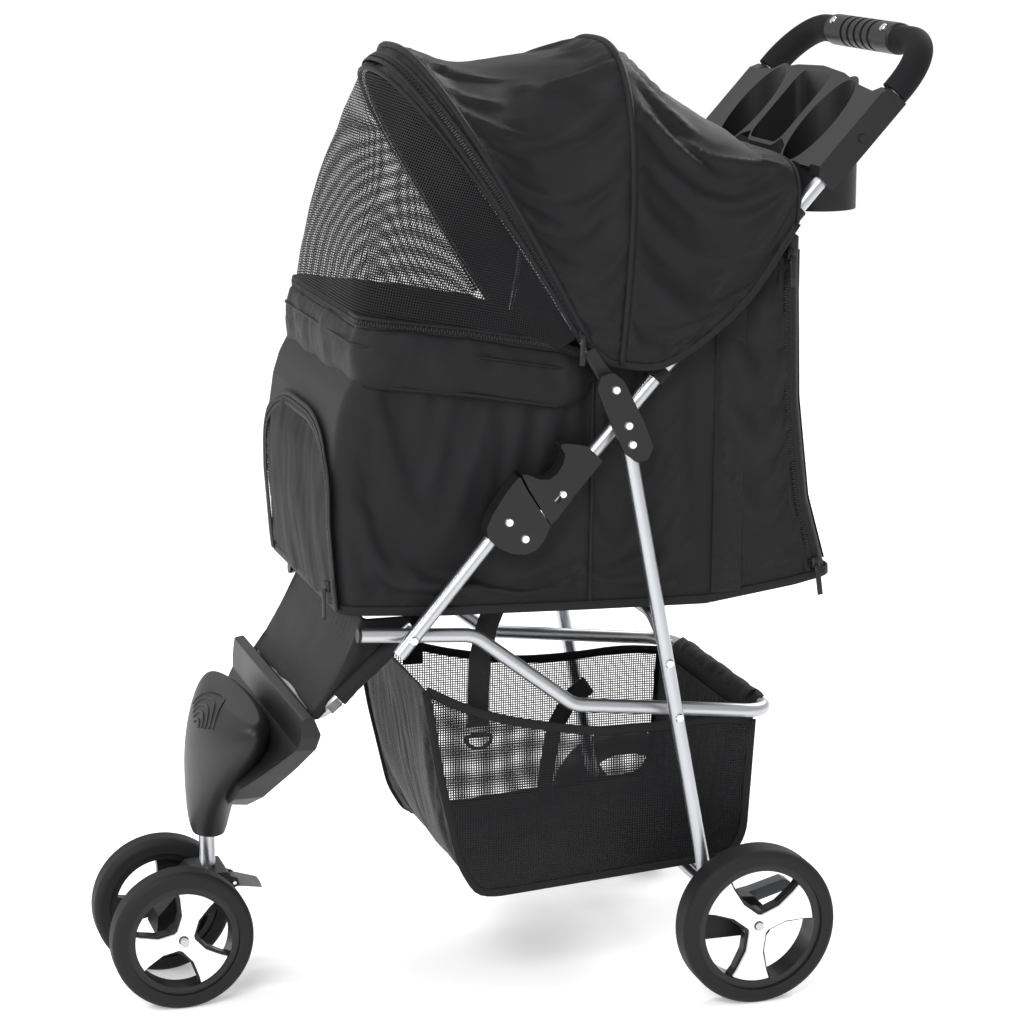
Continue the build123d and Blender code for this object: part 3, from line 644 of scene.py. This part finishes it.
loop = cabin_loop()
levels = np.linspace(0, 1, 64)
cabin_points = np.zeros((len(levels), len(loop), 3))
for i, (x, run) in enumerate(loop):
    share = run / 480
    y_low = mix(-223, 281, share)
    y_high = mix(-199, 243, share)
    z = mix(np.interp(y_low, *BOTTOM_LINE), np.interp(y_high, *TOP_LINE), levels)
    front, rear = np.interp(z, *FRONT_LINE), np.interp(z, *REAR_LINE)
    cabin_points[:, i] = np.stack([np.full_like(z, x), mix(front, rear, share), z], 1)
cabin = grid_mesh("cabin_walls", place_all(cabin_points), FINISH["black_cloth"], closed=True)
on_side = np.tile(np.abs(np.abs(loop[:, 0]) - HALF_WIDTH) < 0.5, (len(levels), 1))
height_share = np.tile(levels[:, None], (1, len(loop)))
edge = np.minimum(height_share, 1 - height_share)
run_share = np.tile(loop[:, 1] / 480, (len(levels), 1))
near_corner = np.minimum(run_share, 1 - run_share)
cabin_pins = np.where(on_side, np.clip(1 - edge * 12, 0, 1), 1.0)
cabin_pins = np.maximum(cabin_pins, np.clip(1 - near_corner * 16, 0, 1))
seam_share = (27 + 223) / 504
cabin_pins = np.maximum(cabin_pins, np.clip(0.5 - np.abs(run_share - seam_share) * 40, 0, 1))
strap_share = (167 + 223) / 504
cabin_pins = np.maximum(cabin_pins, np.clip(1.6 - np.abs(run_share - strap_share) * 30, 0, 1))
relax_cloth(cabin, cabin_pins.ravel(), frames=16, extra=0.022, bend=1.2, cap=0.009, fall=0.7)
free = 1 - cabin_pins.ravel()
crumple(cabin, 0.0065, 8.5, 3, free, (1, 1, 0.7))
crumple(cabin, 0.0022, 22.0, 5, free, (1, 1, 0.8))
thicken(cabin)
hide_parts("cabin_sides", "cabin_front", "cabin_rear")
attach(cabin, "chassis")
goes_down(cabin)
print("cabin cloth points:", len(cabin.data.vertices))

# %% [markdown]
# The front door is a mesh panel that nearly fills the cabin's front, with a zip running up
# one side, over a rounded top and down the other. It lies on the wall and bulges a little,
# because mesh is softer than the coated cloth round it.


# %% Front door
def front_y(z, out):
    """Front wall position at height z, moved forwards by out."""
    return np.interp(z, *FRONT_LINE) - out


door_x = np.linspace(-137, 137, 90)
door_top = 590 - 62 * (1 - np.sqrt(1 - np.clip((np.abs(door_x) - 27) / 110, 0, 0.999) ** 2))
door_share = np.linspace(0, 1, 60)
door_grid = np.zeros((60, 90, 3))
for i, share in enumerate(door_share):
    z = 416 + (door_top - 416) * share
    bulge = 3.2 + 5 * np.sin(math.pi * share) * np.cos(door_x / 137 * math.pi / 2)
    door_grid[i] = np.stack([door_x, front_y(z, bulge), z], 1)
door_points = place_all(door_grid)
door = grid_mesh("front_door", door_points, FINISH["door_mesh"], lay=square_lay(door_points))
crumple(door, 0.0030, 14.0, 9, stretch=(1.6, 1, 0.5))
thicken(door, 0.0008)
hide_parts("front_door_mesh")
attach(door, "chassis")
door_edge = np.vstack([
    np.stack([np.full(20, -137.0), front_y(np.linspace(416, 528, 20), 4), np.linspace(416, 528, 20)], 1),
    np.stack([door_x, front_y(door_top, 4), door_top], 1),
    np.stack([np.full(20, 137.0), front_y(np.linspace(528, 416, 20), 4), np.linspace(528, 416, 20)], 1),
])
door_zip = zip_run("front_door_zip", resample(place_all(door_edge), 150), (0, -1, 0.1), "chassis", 15)
goes_down(door, *door_zip)
print("front door cut to", cut_size(door_points), "m")

# %% [markdown]
# Above the side walls a thick turned-over cuff runs round the opening like the rim of a
# bucket. It is padded, so it is drawn as a closed section that swells outwards between a
# flat back and a piped lower edge, and its ends round off below the canopy bows.

# %% Cuff
CUFF_TOP = ([-240, -192, -100, -8, 14, 27], [691, 689, 676, 659, 650, 636])
CUFF_LOW = ([-240, -180, -100, -10, 14, 27], [633, 630, 619, 603, 611, 630])
plan = resample(rounded([(151, 27), (151, -198), (-151, -198), (-151, 27)], 24, 10), 190)
plan_run = frames_along(plan)
plan_out = np.stack([-plan_run[:, 1], plan_run[:, 0]], 1)
plan_out *= np.sign((plan_out * (plan - [0, -90])).sum(1, keepdims=True))
section = np.linspace(0, 1, 22)
cuff_rows = np.zeros((190, 30, 3))
cuff_low_line, cuff_seam_line, cuff_top_line = [], [], []
for i, ((x, y), out) in enumerate(zip(plan, plan_out)):
    high, low = np.interp(y, *CUFF_TOP), np.interp(y, *CUFF_LOW)
    end = min(1.0, 0.25 + (27 - y) / 20)
    push = (2.2 + 8.5 * np.abs(np.sin(math.pi * section)) ** 0.55) * end
    lean = 3 * np.clip((-190 - y) / 20, 0, 1)
    zs = high + (low - high) * section
    outer = push + lean * section
    back_z = np.linspace(low, high, 10)[1:-1]
    back = np.full(8, -0.3) + lean * (high - back_z) / max(high - low, 1)
    reach = np.concatenate([outer, back])
    cuff_rows[i] = np.stack([x + out[0] * reach, y + out[1] * reach, np.concatenate([zs, back_z])], 1)
    cuff_low_line.append(cuff_rows[i, 20])
    cuff_seam_line.append(cuff_rows[i, 6])
    cuff_top_line.append(cuff_rows[i, 0])
cuff = grid_mesh("cuff_roll", place_all(cuff_rows), FINISH["black_cloth"], closed=True)
crumple(cuff, 0.0042, 15.0, 11, stretch=(1, 1, 0.7))
crumple(cuff, 0.0009, 60.0, 12)
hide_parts("cuff")
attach(cuff, "chassis")
cuff_out = np.concatenate([plan_out, np.zeros((190, 1))], 1)
cuff_piping = sweep_outline("cuff_piping", place_all(cuff_low_line), cuff_out,
                            cord_outline(2.0), FINISH["black_cloth"], "chassis")
cuff_seam = sweep_outline("cuff_seam", place_all(cuff_seam_line), cuff_out,
                          cord_outline(1.1), FINISH["black_cloth"], "chassis")
rim_zip = zip_run("rim_zip", place_all(np.array(cuff_top_line) + [0, 0, 3.5]), cuff_out, "chassis", 12)
goes_down(cuff, cuff_piping, cuff_seam, *rim_zip)

# %% [markdown]
# The canopy is one continuous sheet stretched over wire bows. Each bow is a rounded arch,
# and the cloth between two bows is their blend with a slight dip, so the sheet is drawn as
# rows of arches whose feet, apex and roundness slide smoothly from front to back.

# %% Canopy sheet
CANOPY = np.array([
    # share, foot y, foot z, half width, apex y, apex z, roundness
    (0.00, 10, 676, 170.0, -151, 915, 2.50),
    (0.09, 17, 668, 172.5, -128, 938, 2.50),
    (0.26, 30, 655, 174.0, -50, 932, 2.55),
    (0.47, 48, 646, 175.5, 78, 941, 2.60),
    (0.64, 97, 646, 176.0, 140, 902, 3.00),
    (0.83, 174, 701, 175.0, 193, 866, 3.90),
    (1.00, 228, 774, 171.0, 231, 834, 5.00),
])


def arch_row(share, count, table, lift=0.0):
    """Evenly spaced points over the arch at that share of the way along a table."""
    fy, fz, half, ay, az, power = curve_through(table[:, 0], table[:, 1:], [share])[0]
    t = np.linspace(0, math.pi, 240)
    c, h = np.cos(t), np.abs(np.sin(t)) ** (2 / power)
    x = (half + lift) * np.sign(c) * np.abs(c) ** (2 / power)
    up = np.array([ay - fy, az - fz])
    grow = 1 + lift / np.linalg.norm(up)
    return resample(np.stack([x, fy + up[0] * grow * h, fz + up[1] * grow * h], 1), count)


canopy_rows = np.array([arch_row(s, 130, CANOPY) for s in np.linspace(0, 1, 80)])
canopy_points = place_all(canopy_rows)
canopy = grid_mesh("canopy", canopy_points, FINISH["black_cloth"])
row_share = np.linspace(0, 1, 80)[:, None] * np.ones((1, 130))
col_share = np.linspace(0, 1, 130)[None, :] * np.ones((80, 1))
canopy_pins = np.zeros((80, 130))
for bow_at, reach in ((0.0, 60), (0.09, 60), (0.47, 60), (1.0, 30)):
    canopy_pins = np.maximum(canopy_pins, np.clip(1.4 - np.abs(row_share - bow_at) * reach, 0, 1))
foot = np.minimum(col_share, 1 - col_share)
canopy_pins = np.maximum(canopy_pins, np.clip(1 - foot * 40, 0, 1) * 0.8)
relax_cloth(canopy, canopy_pins.ravel(), frames=18, extra=0.03, bend=0.8, cap=0.011, fall=1.0)
loose = 1 - canopy_pins.ravel()
crumple(canopy, 0.0035, 8.0, 21, loose, (0.8, 1.2, 0.7))
crumple(canopy, 0.0010, 30.0, 23, loose)
for v in canopy.data.vertices:
    run = (v.co.y - MIDDLE + 0.046) * 0.6727 + (v.co.z - 0.481) * 0.7399
    off = abs((v.co.z - 0.481) * 0.6727 - (v.co.y - MIDDLE + 0.046) * 0.7399)
    if off < 0.016 and 0.1 < run < 0.46 and 0.13 < abs(v.co.x) < 0.171:
        v.co.x = math.copysign(0.171, v.co.x)
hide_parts("canopy_front", "canopy_rear")
thicken(canopy)
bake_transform(canopy)
print("canopy cut to", cut_size(canopy_points), "m")

# %% [markdown]
# A piped sleeve over each bow shows where the wire runs. The front edge has two lines: the
# sleeve of the front bow, and the zip that joins the mesh window to it.


# %% Canopy trim
def arch_normals(path):
    """Outward directions for a line over an arch."""
    centre = at(0, 40, 640)
    away = np.asarray(path) - np.array([0, centre[1], centre[2]])
    away[:, 0] *= 0.9
    return away / np.linalg.norm(away, axis=1, keepdims=True)


bow_line = place_all(arch_row(0.47, 150, CANOPY, 1.2))
sweep_outline("middle_bow_sleeve", bow_line, arch_normals(bow_line),
              cord_outline(3.4, 10), FINISH["black_cloth"], "rear_frame")
front_line = place_all(arch_row(0.09, 150, CANOPY, 1.0))
sweep_outline("front_bow_sleeve", front_line, arch_normals(front_line),
              cord_outline(3.6, 10), FINISH["black_cloth"], "canopy_bow")
edge_line = place_all(arch_row(0.005, 150, CANOPY, 0.8))
sweep_outline("front_edge_piping", edge_line, arch_normals(edge_line),
              cord_outline(2.4, 10), FINISH["black_cloth"], "canopy_bow")
window_zip_line = place_all(arch_row(0.045, 150, CANOPY, 1.6))
zip_run("window_zip", window_zip_line, arch_normals(window_zip_line), "canopy_bow", 15)
rear_line = place_all(arch_row(1.0, 120, CANOPY, 0.6))
sweep_outline("canopy_rear_piping", rear_line, arch_normals(rear_line),
              cord_outline(1.8), FINISH["black_cloth"], "rear_frame")
hem_near = place_all(canopy_rows[:, 0] + [0.8, 0, 0])
hem_far = place_all(canopy_rows[:, -1] + [-0.8, 0, 0])
for name, line, side in (("near", hem_near, 1), ("far", hem_far, -1)):
    hem = sweep_outline(f"canopy_hem_{name}", line, (side, 0, 0), tape_outline(7, 2.2),
                        FINISH["black_cloth"], "canopy_bow")
    hem.parent = None
    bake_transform(hem)
roll_line = np.array([(x, 241 + 3 * math.cos(x / 40), 815 - 6 * math.cos(x / 75))
                      for x in range(-124, 125, 4)])
flap_roll = sweep_outline("rear_flap_roll", place_all(roll_line), (0, 1, 0),
                          [(9.5 * math.cos(a), 7.5 * math.sin(a))
                           for a in np.linspace(0, 2 * math.pi, 19)[:-1]],
                          FINISH["black_cloth"], "rear_frame")
crumple(flap_roll, 0.0025, 30.0, 31)

# %% [markdown]
# The window is a single piece of open mesh from the cuff's rim up to the front bow. Its
# lower edge is a wide flat-fronted arch and its upper edge a rounder one, so it is drawn
# like the canopy: rows of arches between two edges.

# %% Mesh window
WINDOW = np.array([
    (0.00, -14, 655, 152.0, -203, 693, 9.0),
    (0.35, -5, 662, 157.5, -190, 775, 5.2),
    (0.70, 4, 670, 165.0, -171, 852, 3.3),
    (1.00, 10, 676, 169.5, -151, 914, 2.5),
])
window_points = place_all(np.array([arch_row(s, 140, WINDOW) for s in np.linspace(0, 1, 48)]))
window = grid_mesh("mesh_window_sheet", window_points, FINISH["mesh"], lay=square_lay(window_points))
window_edge = np.minimum(np.linspace(0, 1, 48), np.linspace(1, 0, 48))[:, None] * np.ones((1, 140))
crumple(window, 0.004, 9.0, 41, np.clip(window_edge.ravel() * 6, 0, 1))
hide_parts("mesh_window")
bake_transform(window)
print("window cut to", cut_size(window_points), "m")

# %% [markdown]
# Sewn to each side near the back is a strip of wide webbing, and at each rear corner a zip
# lets the back wall open. The back wall itself carries a second layer, the rear door.

# %% Side webbing, rear zips and rear door
for name, side in (("left", 1), ("right", -1)):
    strap = place_all(np.array([(side * 150.8, 168 + (z - 410) * 0.006, z) for z in range(408, 708, 6)]))
    strip = sweep_outline(f"side_webbing_{name}", strap, (side, 0, 0), tape_outline(31, 1.8),
                          FINISH["webbing"], "chassis")
    if side > 0:
        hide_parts("side_straps")
    corner = np.array([(side * 150.4, np.interp(z, *REAR_LINE) - 17, z) for z in range(424, 748, 6)])
    rear_zip = zip_run(f"rear_zip_{name}", place_all(corner), (side, 0, 0), "chassis", 18)
    goes_down(strip, *rear_zip)
rear_x = np.linspace(-119, 119, 60)
rear_grid = np.array([
    np.stack([rear_x, np.interp(np.full(60, z), *REAR_LINE) + 3.5 + 3 * np.cos(rear_x / 119 * 1.57),
              np.full(60, z)], 1)
    for z in np.linspace(430, 744, 70)
])
rear_points = place_all(rear_grid)
rear_door = grid_mesh("rear_door", rear_points, FINISH["black_cloth"])
crumple(rear_door, 0.003, 9.0, 51, stretch=(1, 1, 0.6))
thicken(rear_door)
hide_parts("rear_door_flap")
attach(rear_door, "chassis")
goes_down(rear_door)
for name, x in (("left", 121), ("right", -121)):
    line = place_all(np.array([(x, np.interp(z, *REAR_LINE) + 5, z) for z in range(430, 748, 6)]))
    goes_down(*zip_run(f"rear_door_zip_{name}", line, (0, 1, 0), "chassis", 15))
print("rear door cut to", cut_size(rear_points), "m")

# %% [markdown]
# The cabin's bottom edge is bound with a folded tape, and a seam runs up each side at a
# third of its length. Inside, a thin quilted pad covers the floor board.

# %% Binding, seams and floor pad
low_run = np.array([(x, y) for x, y in zip(loop[:, 0], mix(-223, 281, loop[:, 1] / 480))])
low_line = np.array([(x * 1.006, y, np.interp(y, *BOTTOM_LINE) + 2) for x, y in low_run])
low_out = np.concatenate([low_run / [148, 250] * [1, 0.6], np.zeros((len(low_run), 1))], 1)
low_binding = sweep_outline("floor_binding", place_all(np.vstack([low_line, low_line[:1]])),
                            np.vstack([low_out, low_out[:1]]), tape_outline(9, 2.6),
                            FINISH["black_cloth"], "chassis", caps=False)
goes_down(low_binding)
for name, side in (("left", 1), ("right", -1)):
    seam_line = place_all(np.array([(side * 149.6, 27 + (z - 404) * 0.01, z) for z in range(406, 640, 6)]))
    goes_down(sweep_outline(f"side_seam_{name}", seam_line, (side, 0, 0), tape_outline(3.4, 1.4),
                            FINISH["black_cloth"], "chassis"))
pad_path = place_all(np.array([(0, y, np.interp(y, [-214, -120, 27, 147, 268], [430, 425, 421, 419, 434]))
                               for y in np.linspace(-206, 262, 60)]))
pad_shape = [(131 * np.sign(math.cos(a)) * abs(math.cos(a)) ** 0.3, 6 * math.sin(a))
             for a in np.linspace(0, 2 * math.pi, 61)[:-1]]
floor_pad = sweep_outline("floor_pad", pad_path, (0, 0, 1), pad_shape, FINISH["black_cloth"], "chassis")
crumple(floor_pad, 0.002, 18.0, 61)

# %% [markdown]
# Below the cabin a cloth panel wraps the bent front tube. It is a shallow trough: a front
# face and two side gussets that run back to the tube's legs, where sleeves hold it.

# %% Lower front panel
panel_rows = []
for z in np.linspace(404, 308, 36):
    face, leg = -196 - (404 - z) * 0.57, -149 - (394 - z) * 1.093
    leg = max(min(leg, -150), face + 6)
    corner_line = rounded([(134, leg), (134, face), (-134, face), (-134, leg)], 9)
    ring = resample(corner_line, 110)
    panel_rows.append(np.column_stack([ring, np.full(110, z)]))
panel_points = place_all(np.array(panel_rows))
panel = grid_mesh("lower_panel", panel_points, FINISH["black_cloth"])
panel_rows_share = np.linspace(0, 1, 36)[:, None] * np.ones((1, 110))
panel_cols_share = np.linspace(0, 1, 110)[None, :] * np.ones((36, 1))
panel_edge = np.minimum(np.minimum(panel_rows_share, 1 - panel_rows_share) * 3,
                        np.minimum(panel_cols_share, 1 - panel_cols_share) * 8)
relax_cloth(panel, np.clip(1 - panel_edge * 2, 0, 1).ravel(), frames=10, extra=0.004, cap=0.003)
crumple(panel, 0.002, 8.0, 72)
thicken(panel)
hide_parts("lower_front_panel")
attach(panel, "chassis")
for name, side in (("left", 1), ("right", -1)):
    sleeve = place_all(np.linspace((side * 131, -163, 381), (side * 131, -222, 327.3), 24))
    sleeved = sweep_outline(f"tube_sleeve_{name}", sleeve, (0, -0.68, 0.74), cord_outline(9.4, 16),
                            FINISH["black_cloth"], "chassis")
    crumple(sleeved, 0.0012, 60.0, 71)
    for k, (y, z) in enumerate(((-156, 389), (-228, 322))):
        tab = place_all(np.array([(side * 140.4, y - 5, z - 4), (side * 140.6, y, z),
                                  (side * 140.4, y + 5, z + 4)]))
        sweep_outline(f"snap_tab_{name}_{k}", tab, (side, 0, 0), tape_outline(9, 2.4),
                      FINISH["grey_plastic"], "chassis")
print("lower panel cut to", cut_size(panel_points), "m")

# %% [markdown]
# The basket hangs from the bent rail. Front, bottom and back are one strip of cloth, the
# two sides are mesh, and binding tape covers every edge. The hem dips between its hangers,
# and the strip is given a little slack, so that it sags as a loaded basket does.

# %% Basket strip
PROFILE = [(-136, 328), (-122, 239), (-101, 146), (-84, 117), (-66, 114), (183, 130), (196, 150), (204, 270)]
HEM = [(-136, 328), (-94, 305), (-50, 290), (33, 272), (100, 271), (160, 275), (204, 270)]
strip_line = resample(rounded(PROFILE, 12, 5), 110)
strip_x = np.linspace(-136, 136, 64)
strip_rows = np.zeros((110, 64, 3))
for j, x in enumerate(strip_x):
    pinch = 1 - 0.012 * math.cos(x / 136 * 1.57)
    strip_rows[:, j] = np.column_stack([np.full(110, x), strip_line[:, 0] * pinch, strip_line[:, 1]])
strip_points = place_all(strip_rows)
strip = grid_mesh("basket_strip", strip_points, FINISH["basket_cloth"])
strip_edge = np.minimum(np.linspace(0, 1, 64), np.linspace(1, 0, 64))[None, :] * np.ones((110, 1))
strip_end = np.minimum(np.linspace(0, 1, 110), np.linspace(1, 0, 110))[:, None] * np.ones((1, 64))
strip_pins = np.clip(1 - np.minimum(strip_edge * 10, strip_end * 12), 0, 1)
relax_cloth(strip, strip_pins.ravel(), frames=16, extra=0.025, cap=0.010, fall=1.0)
crumple(strip, 0.0025, 10.0, 81, 1 - strip_pins.ravel())
thicken(strip)
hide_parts("basket")
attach(strip, "basket_frame")
BASKET_SOFT = [strip]
print("basket strip cut to", cut_size(strip_points), "m")

# %% Basket sides and binding
hem_line = resample(rounded(HEM, 30, 6), 100)
bottom_line = resample(rounded(PROFILE, 12, 5), 100)
for name, side in (("left", 1), ("right", -1)):
    rows = []
    for share in np.linspace(0, 1, 40):
        line = mix(bottom_line, hem_line, share)
        bow_out = 136 + 3 * math.sin(math.pi * share)
        rows.append(np.column_stack([np.full(100, side * bow_out), line]))
    side_points = place_all(np.array(rows))
    side_lay = side_points[:, :, 1:] + 1
    mesh_side = grid_mesh(f"basket_side_{name}", side_points, FINISH["mesh"], lay=side_lay)
    crumple(mesh_side, 0.003, 9.0, 90 + side)
    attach(mesh_side, "basket_frame")
    edge_run = place_all(np.column_stack([np.full(100, side * 137.2), bottom_line]))
    hem_run = place_all(np.column_stack([np.full(100, side * 137.6), hem_line]))
    edge_tape = sweep_outline(f"basket_edge_{name}", edge_run, (side, 0, 0), tape_outline(8, 2.4),
                              FINISH["basket_cloth"], "basket_frame")
    hem_tape = sweep_outline(f"basket_hem_{name}", hem_run, (side, 0, 0), tape_outline(9, 2.6),
                             FINISH["basket_cloth"], "basket_frame")
    BASKET_SOFT += [mesh_side, edge_tape, hem_tape]

# %% [markdown]
# At the back the strip's top edge is turned over the rail's cross bar into a sleeve. A
# webbing strap on each side carries the weight, and the left one ends in a D-ring.
# Another strap lies loose across the inside.

# %% Rear sleeve, straps and ring
sleeve_run = place_all(np.array([(x, 222, 279) for x in np.linspace(-98, 98, 50)]))
rear_sleeve = sweep_outline("rear_sleeve", sleeve_run, (0, 0, 1), cord_outline(9.6, 18),
                            FINISH["basket_cloth"], "basket_frame")
crumple(rear_sleeve, 0.0015, 50.0, 101)
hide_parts("basket_rear_sleeve")
flap_rows = [[(x, y, z + 3 * math.sin(x / 20) * s) for x in np.linspace(-118, 118, 50)]
             for s, (y, z) in zip(np.linspace(0, 1, 12),
                                  resample([(224, 288), (214, 282), (206, 262), (207, 236)], 12))]
flap_points = place_all(np.array(flap_rows))
rear_flap = grid_mesh("rear_hanging_flap", flap_points, FINISH["basket_cloth"])
thicken(rear_flap)
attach(rear_flap, "basket_frame")
BASKET_SOFT += [rear_sleeve, rear_flap]
STRAPS = {"front": [(-62, 402), (-70, 384), (-78, 350), (-79, 318), (-79, 282)]}
for name, side in (("left", 1), ("right", -1)):
    for where, points in STRAPS.items():
        run = resample([(side * 121, y, z) for y, z in points], 30)
        run[:, 0] += side * 2.5 * np.sin(np.linspace(0, 3.1, 30))
        strap = sweep_outline(f"hanger_{where}_{name}", place_all(run), (side, 0, 0), tape_outline(22, 1.8),
                              FINISH["webbing"], "basket_frame")
        BASKET_SOFT.append(strap)
        if side > 0 and where == "front":
            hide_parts("basket_straps")
inner_run = resample([(-58, 96, 262), (-62, 76, 246), (-66, 60, 214), (-68, 52, 166), (-60, 50, 132)], 30)
inner_strap = sweep_outline("inner_strap", place_all(inner_run), (0.35, -1, 0.2), tape_outline(24, 1.8),
                            FINISH["webbing"], "basket_frame")
BASKET_SOFT.append(inner_strap)
turns = np.linspace(0, 2 * math.pi, 41)
ring_run = np.array([(124, -79 + 13 * math.cos(a), 272 + (11 if math.sin(a) < 0 else 3) * math.sin(a))
                     for a in turns])
sweep_outline("d_ring", place_all(ring_run), (1, 0, 0), cord_outline(2.0), FINISH["black_plastic"],
              "basket_frame", caps=False)

# %% [markdown]
# Small hardware makes it look used: zip pulls, webbing loops round the handle tubes, the
# grip's screws, and the raised arcs on the footrest that keep a paw or shoe from slipping.


# %% Small hardware
def zip_pull(name, place, hang, out, body):
    """A slider with a flat pull hanging from it."""
    hang, out = Vector(hang).normalized(), Vector(out)
    spot = at(*place) + out * 0.002
    sweep_outline(name + "_slider", [tuple(spot - hang * 0.005), tuple(spot), tuple(spot + hang * 0.005)],
                  tuple(out), tape_outline(8, 4), FINISH["black_plastic"], body)
    line = [tuple(spot + hang * d + out * 0.0035) for d in (0.002, 0.012, 0.022, 0.032)]
    sweep_outline(name + "_pull", line, tuple(out), tape_outline(5.5, 1.8), FINISH["black_plastic"], body)


zip_pull("window_zip", (171, 11, 679), (0.2, -0.1, -1), (1, -0.2, 0), "canopy_bow")
zip_pull("rear_zip_low", (151.4, 262, 432), (0.1, 0.1, -1), (1, 0, 0), "chassis")
zip_pull("rear_zip_high", (151.4, 229, 742), (0.1, 0, -1), (1, 0, 0), "chassis")
zip_pull("front_zip", (137, -231, 440), (0, 0, -1), (0.3, -1, 0), "chassis")


def tube_loop(name, side, s, width):
    """A webbing loop round a handle tube at distance s from the fold pivot."""
    y, z = -46 + 0.6727 * s, 481 + 0.7399 * s
    a = np.linspace(0, 2 * math.pi, 25)
    ring = np.stack([side * 161 + 8.6 * np.cos(a), y - 8.6 * 0.7399 * np.sin(a),
                     z + 8.6 * 0.6727 * np.sin(a)], 1)
    out = ring - [side * 161, y, z]
    loop_made = sweep_outline(name, place_all(ring), out, tape_outline(width, 1.8), FINISH["webbing"],
                              "handle", caps=False)


for name, side in (("left", 1), ("right", -1)):
    tube_loop(f"lower_tube_loop_{name}", side, 205, 14)
    tube_loop(f"upper_tube_loop_{name}", side, 408, 12)

# %% [markdown]
# The footrest carries a plain fan of raised grip arcs, dropped onto its curved face by a
# straight line through each point. Two small screws hold the middle grip on the handle.

# %% Footrest arcs and grip screws
housing = frame["nodes"]["front_housing"].data
housing_tree = BVHTree.FromPolygons([v.co for v in housing.vertices], [p.vertices for p in housing.polygons])
aim = Vector((0, 0.78, -0.62))
for k, radius in enumerate((9, 17, 25, 33, 41)):
    line = []
    for a in np.linspace(math.radians(20), math.radians(160), 24):
        start = (at(radius * 1.25 * math.cos(a), -480 - 18, 392 + 5)
                 + Vector((0, 0.62, 0.78)) * radius / 1000 * math.sin(a))
        hit, normal, _, _ = housing_tree.ray_cast(start, aim)
        if hit is not None:
            line.append((tuple(hit), tuple(normal)))
    if len(line) > 12:
        sweep_outline(f"footrest_arc_{k}", [p for p, _ in line], [n for _, n in line], cord_outline(1.3, 6),
                      FINISH["black_plastic"], "chassis")
grip_y, grip_z = -46 + 621 * 0.6727, 481 + 621 * 0.7399
for name, x in (("left", 63), ("right", -63)):
    face = at(x, grip_y - 16.2 * 0.74, grip_z + 16.2 * 0.67)
    up = Vector((0, -0.74, 0.67))
    sweep_outline(f"grip_screw_{name}", [tuple(face - up * 0.002), tuple(face + up * 0.0012)], (1, 0, 0),
                  cord_outline(4.2, 14), FINISH["rivet_steel"], "handle")

# %% [markdown]
# At the end each cabin and basket piece is given its own copy of its mesh.

# %% Own meshes for the soft pieces
for piece in SQUASHED:
    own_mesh(piece)
for piece in BASKET_SOFT:
    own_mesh(piece)
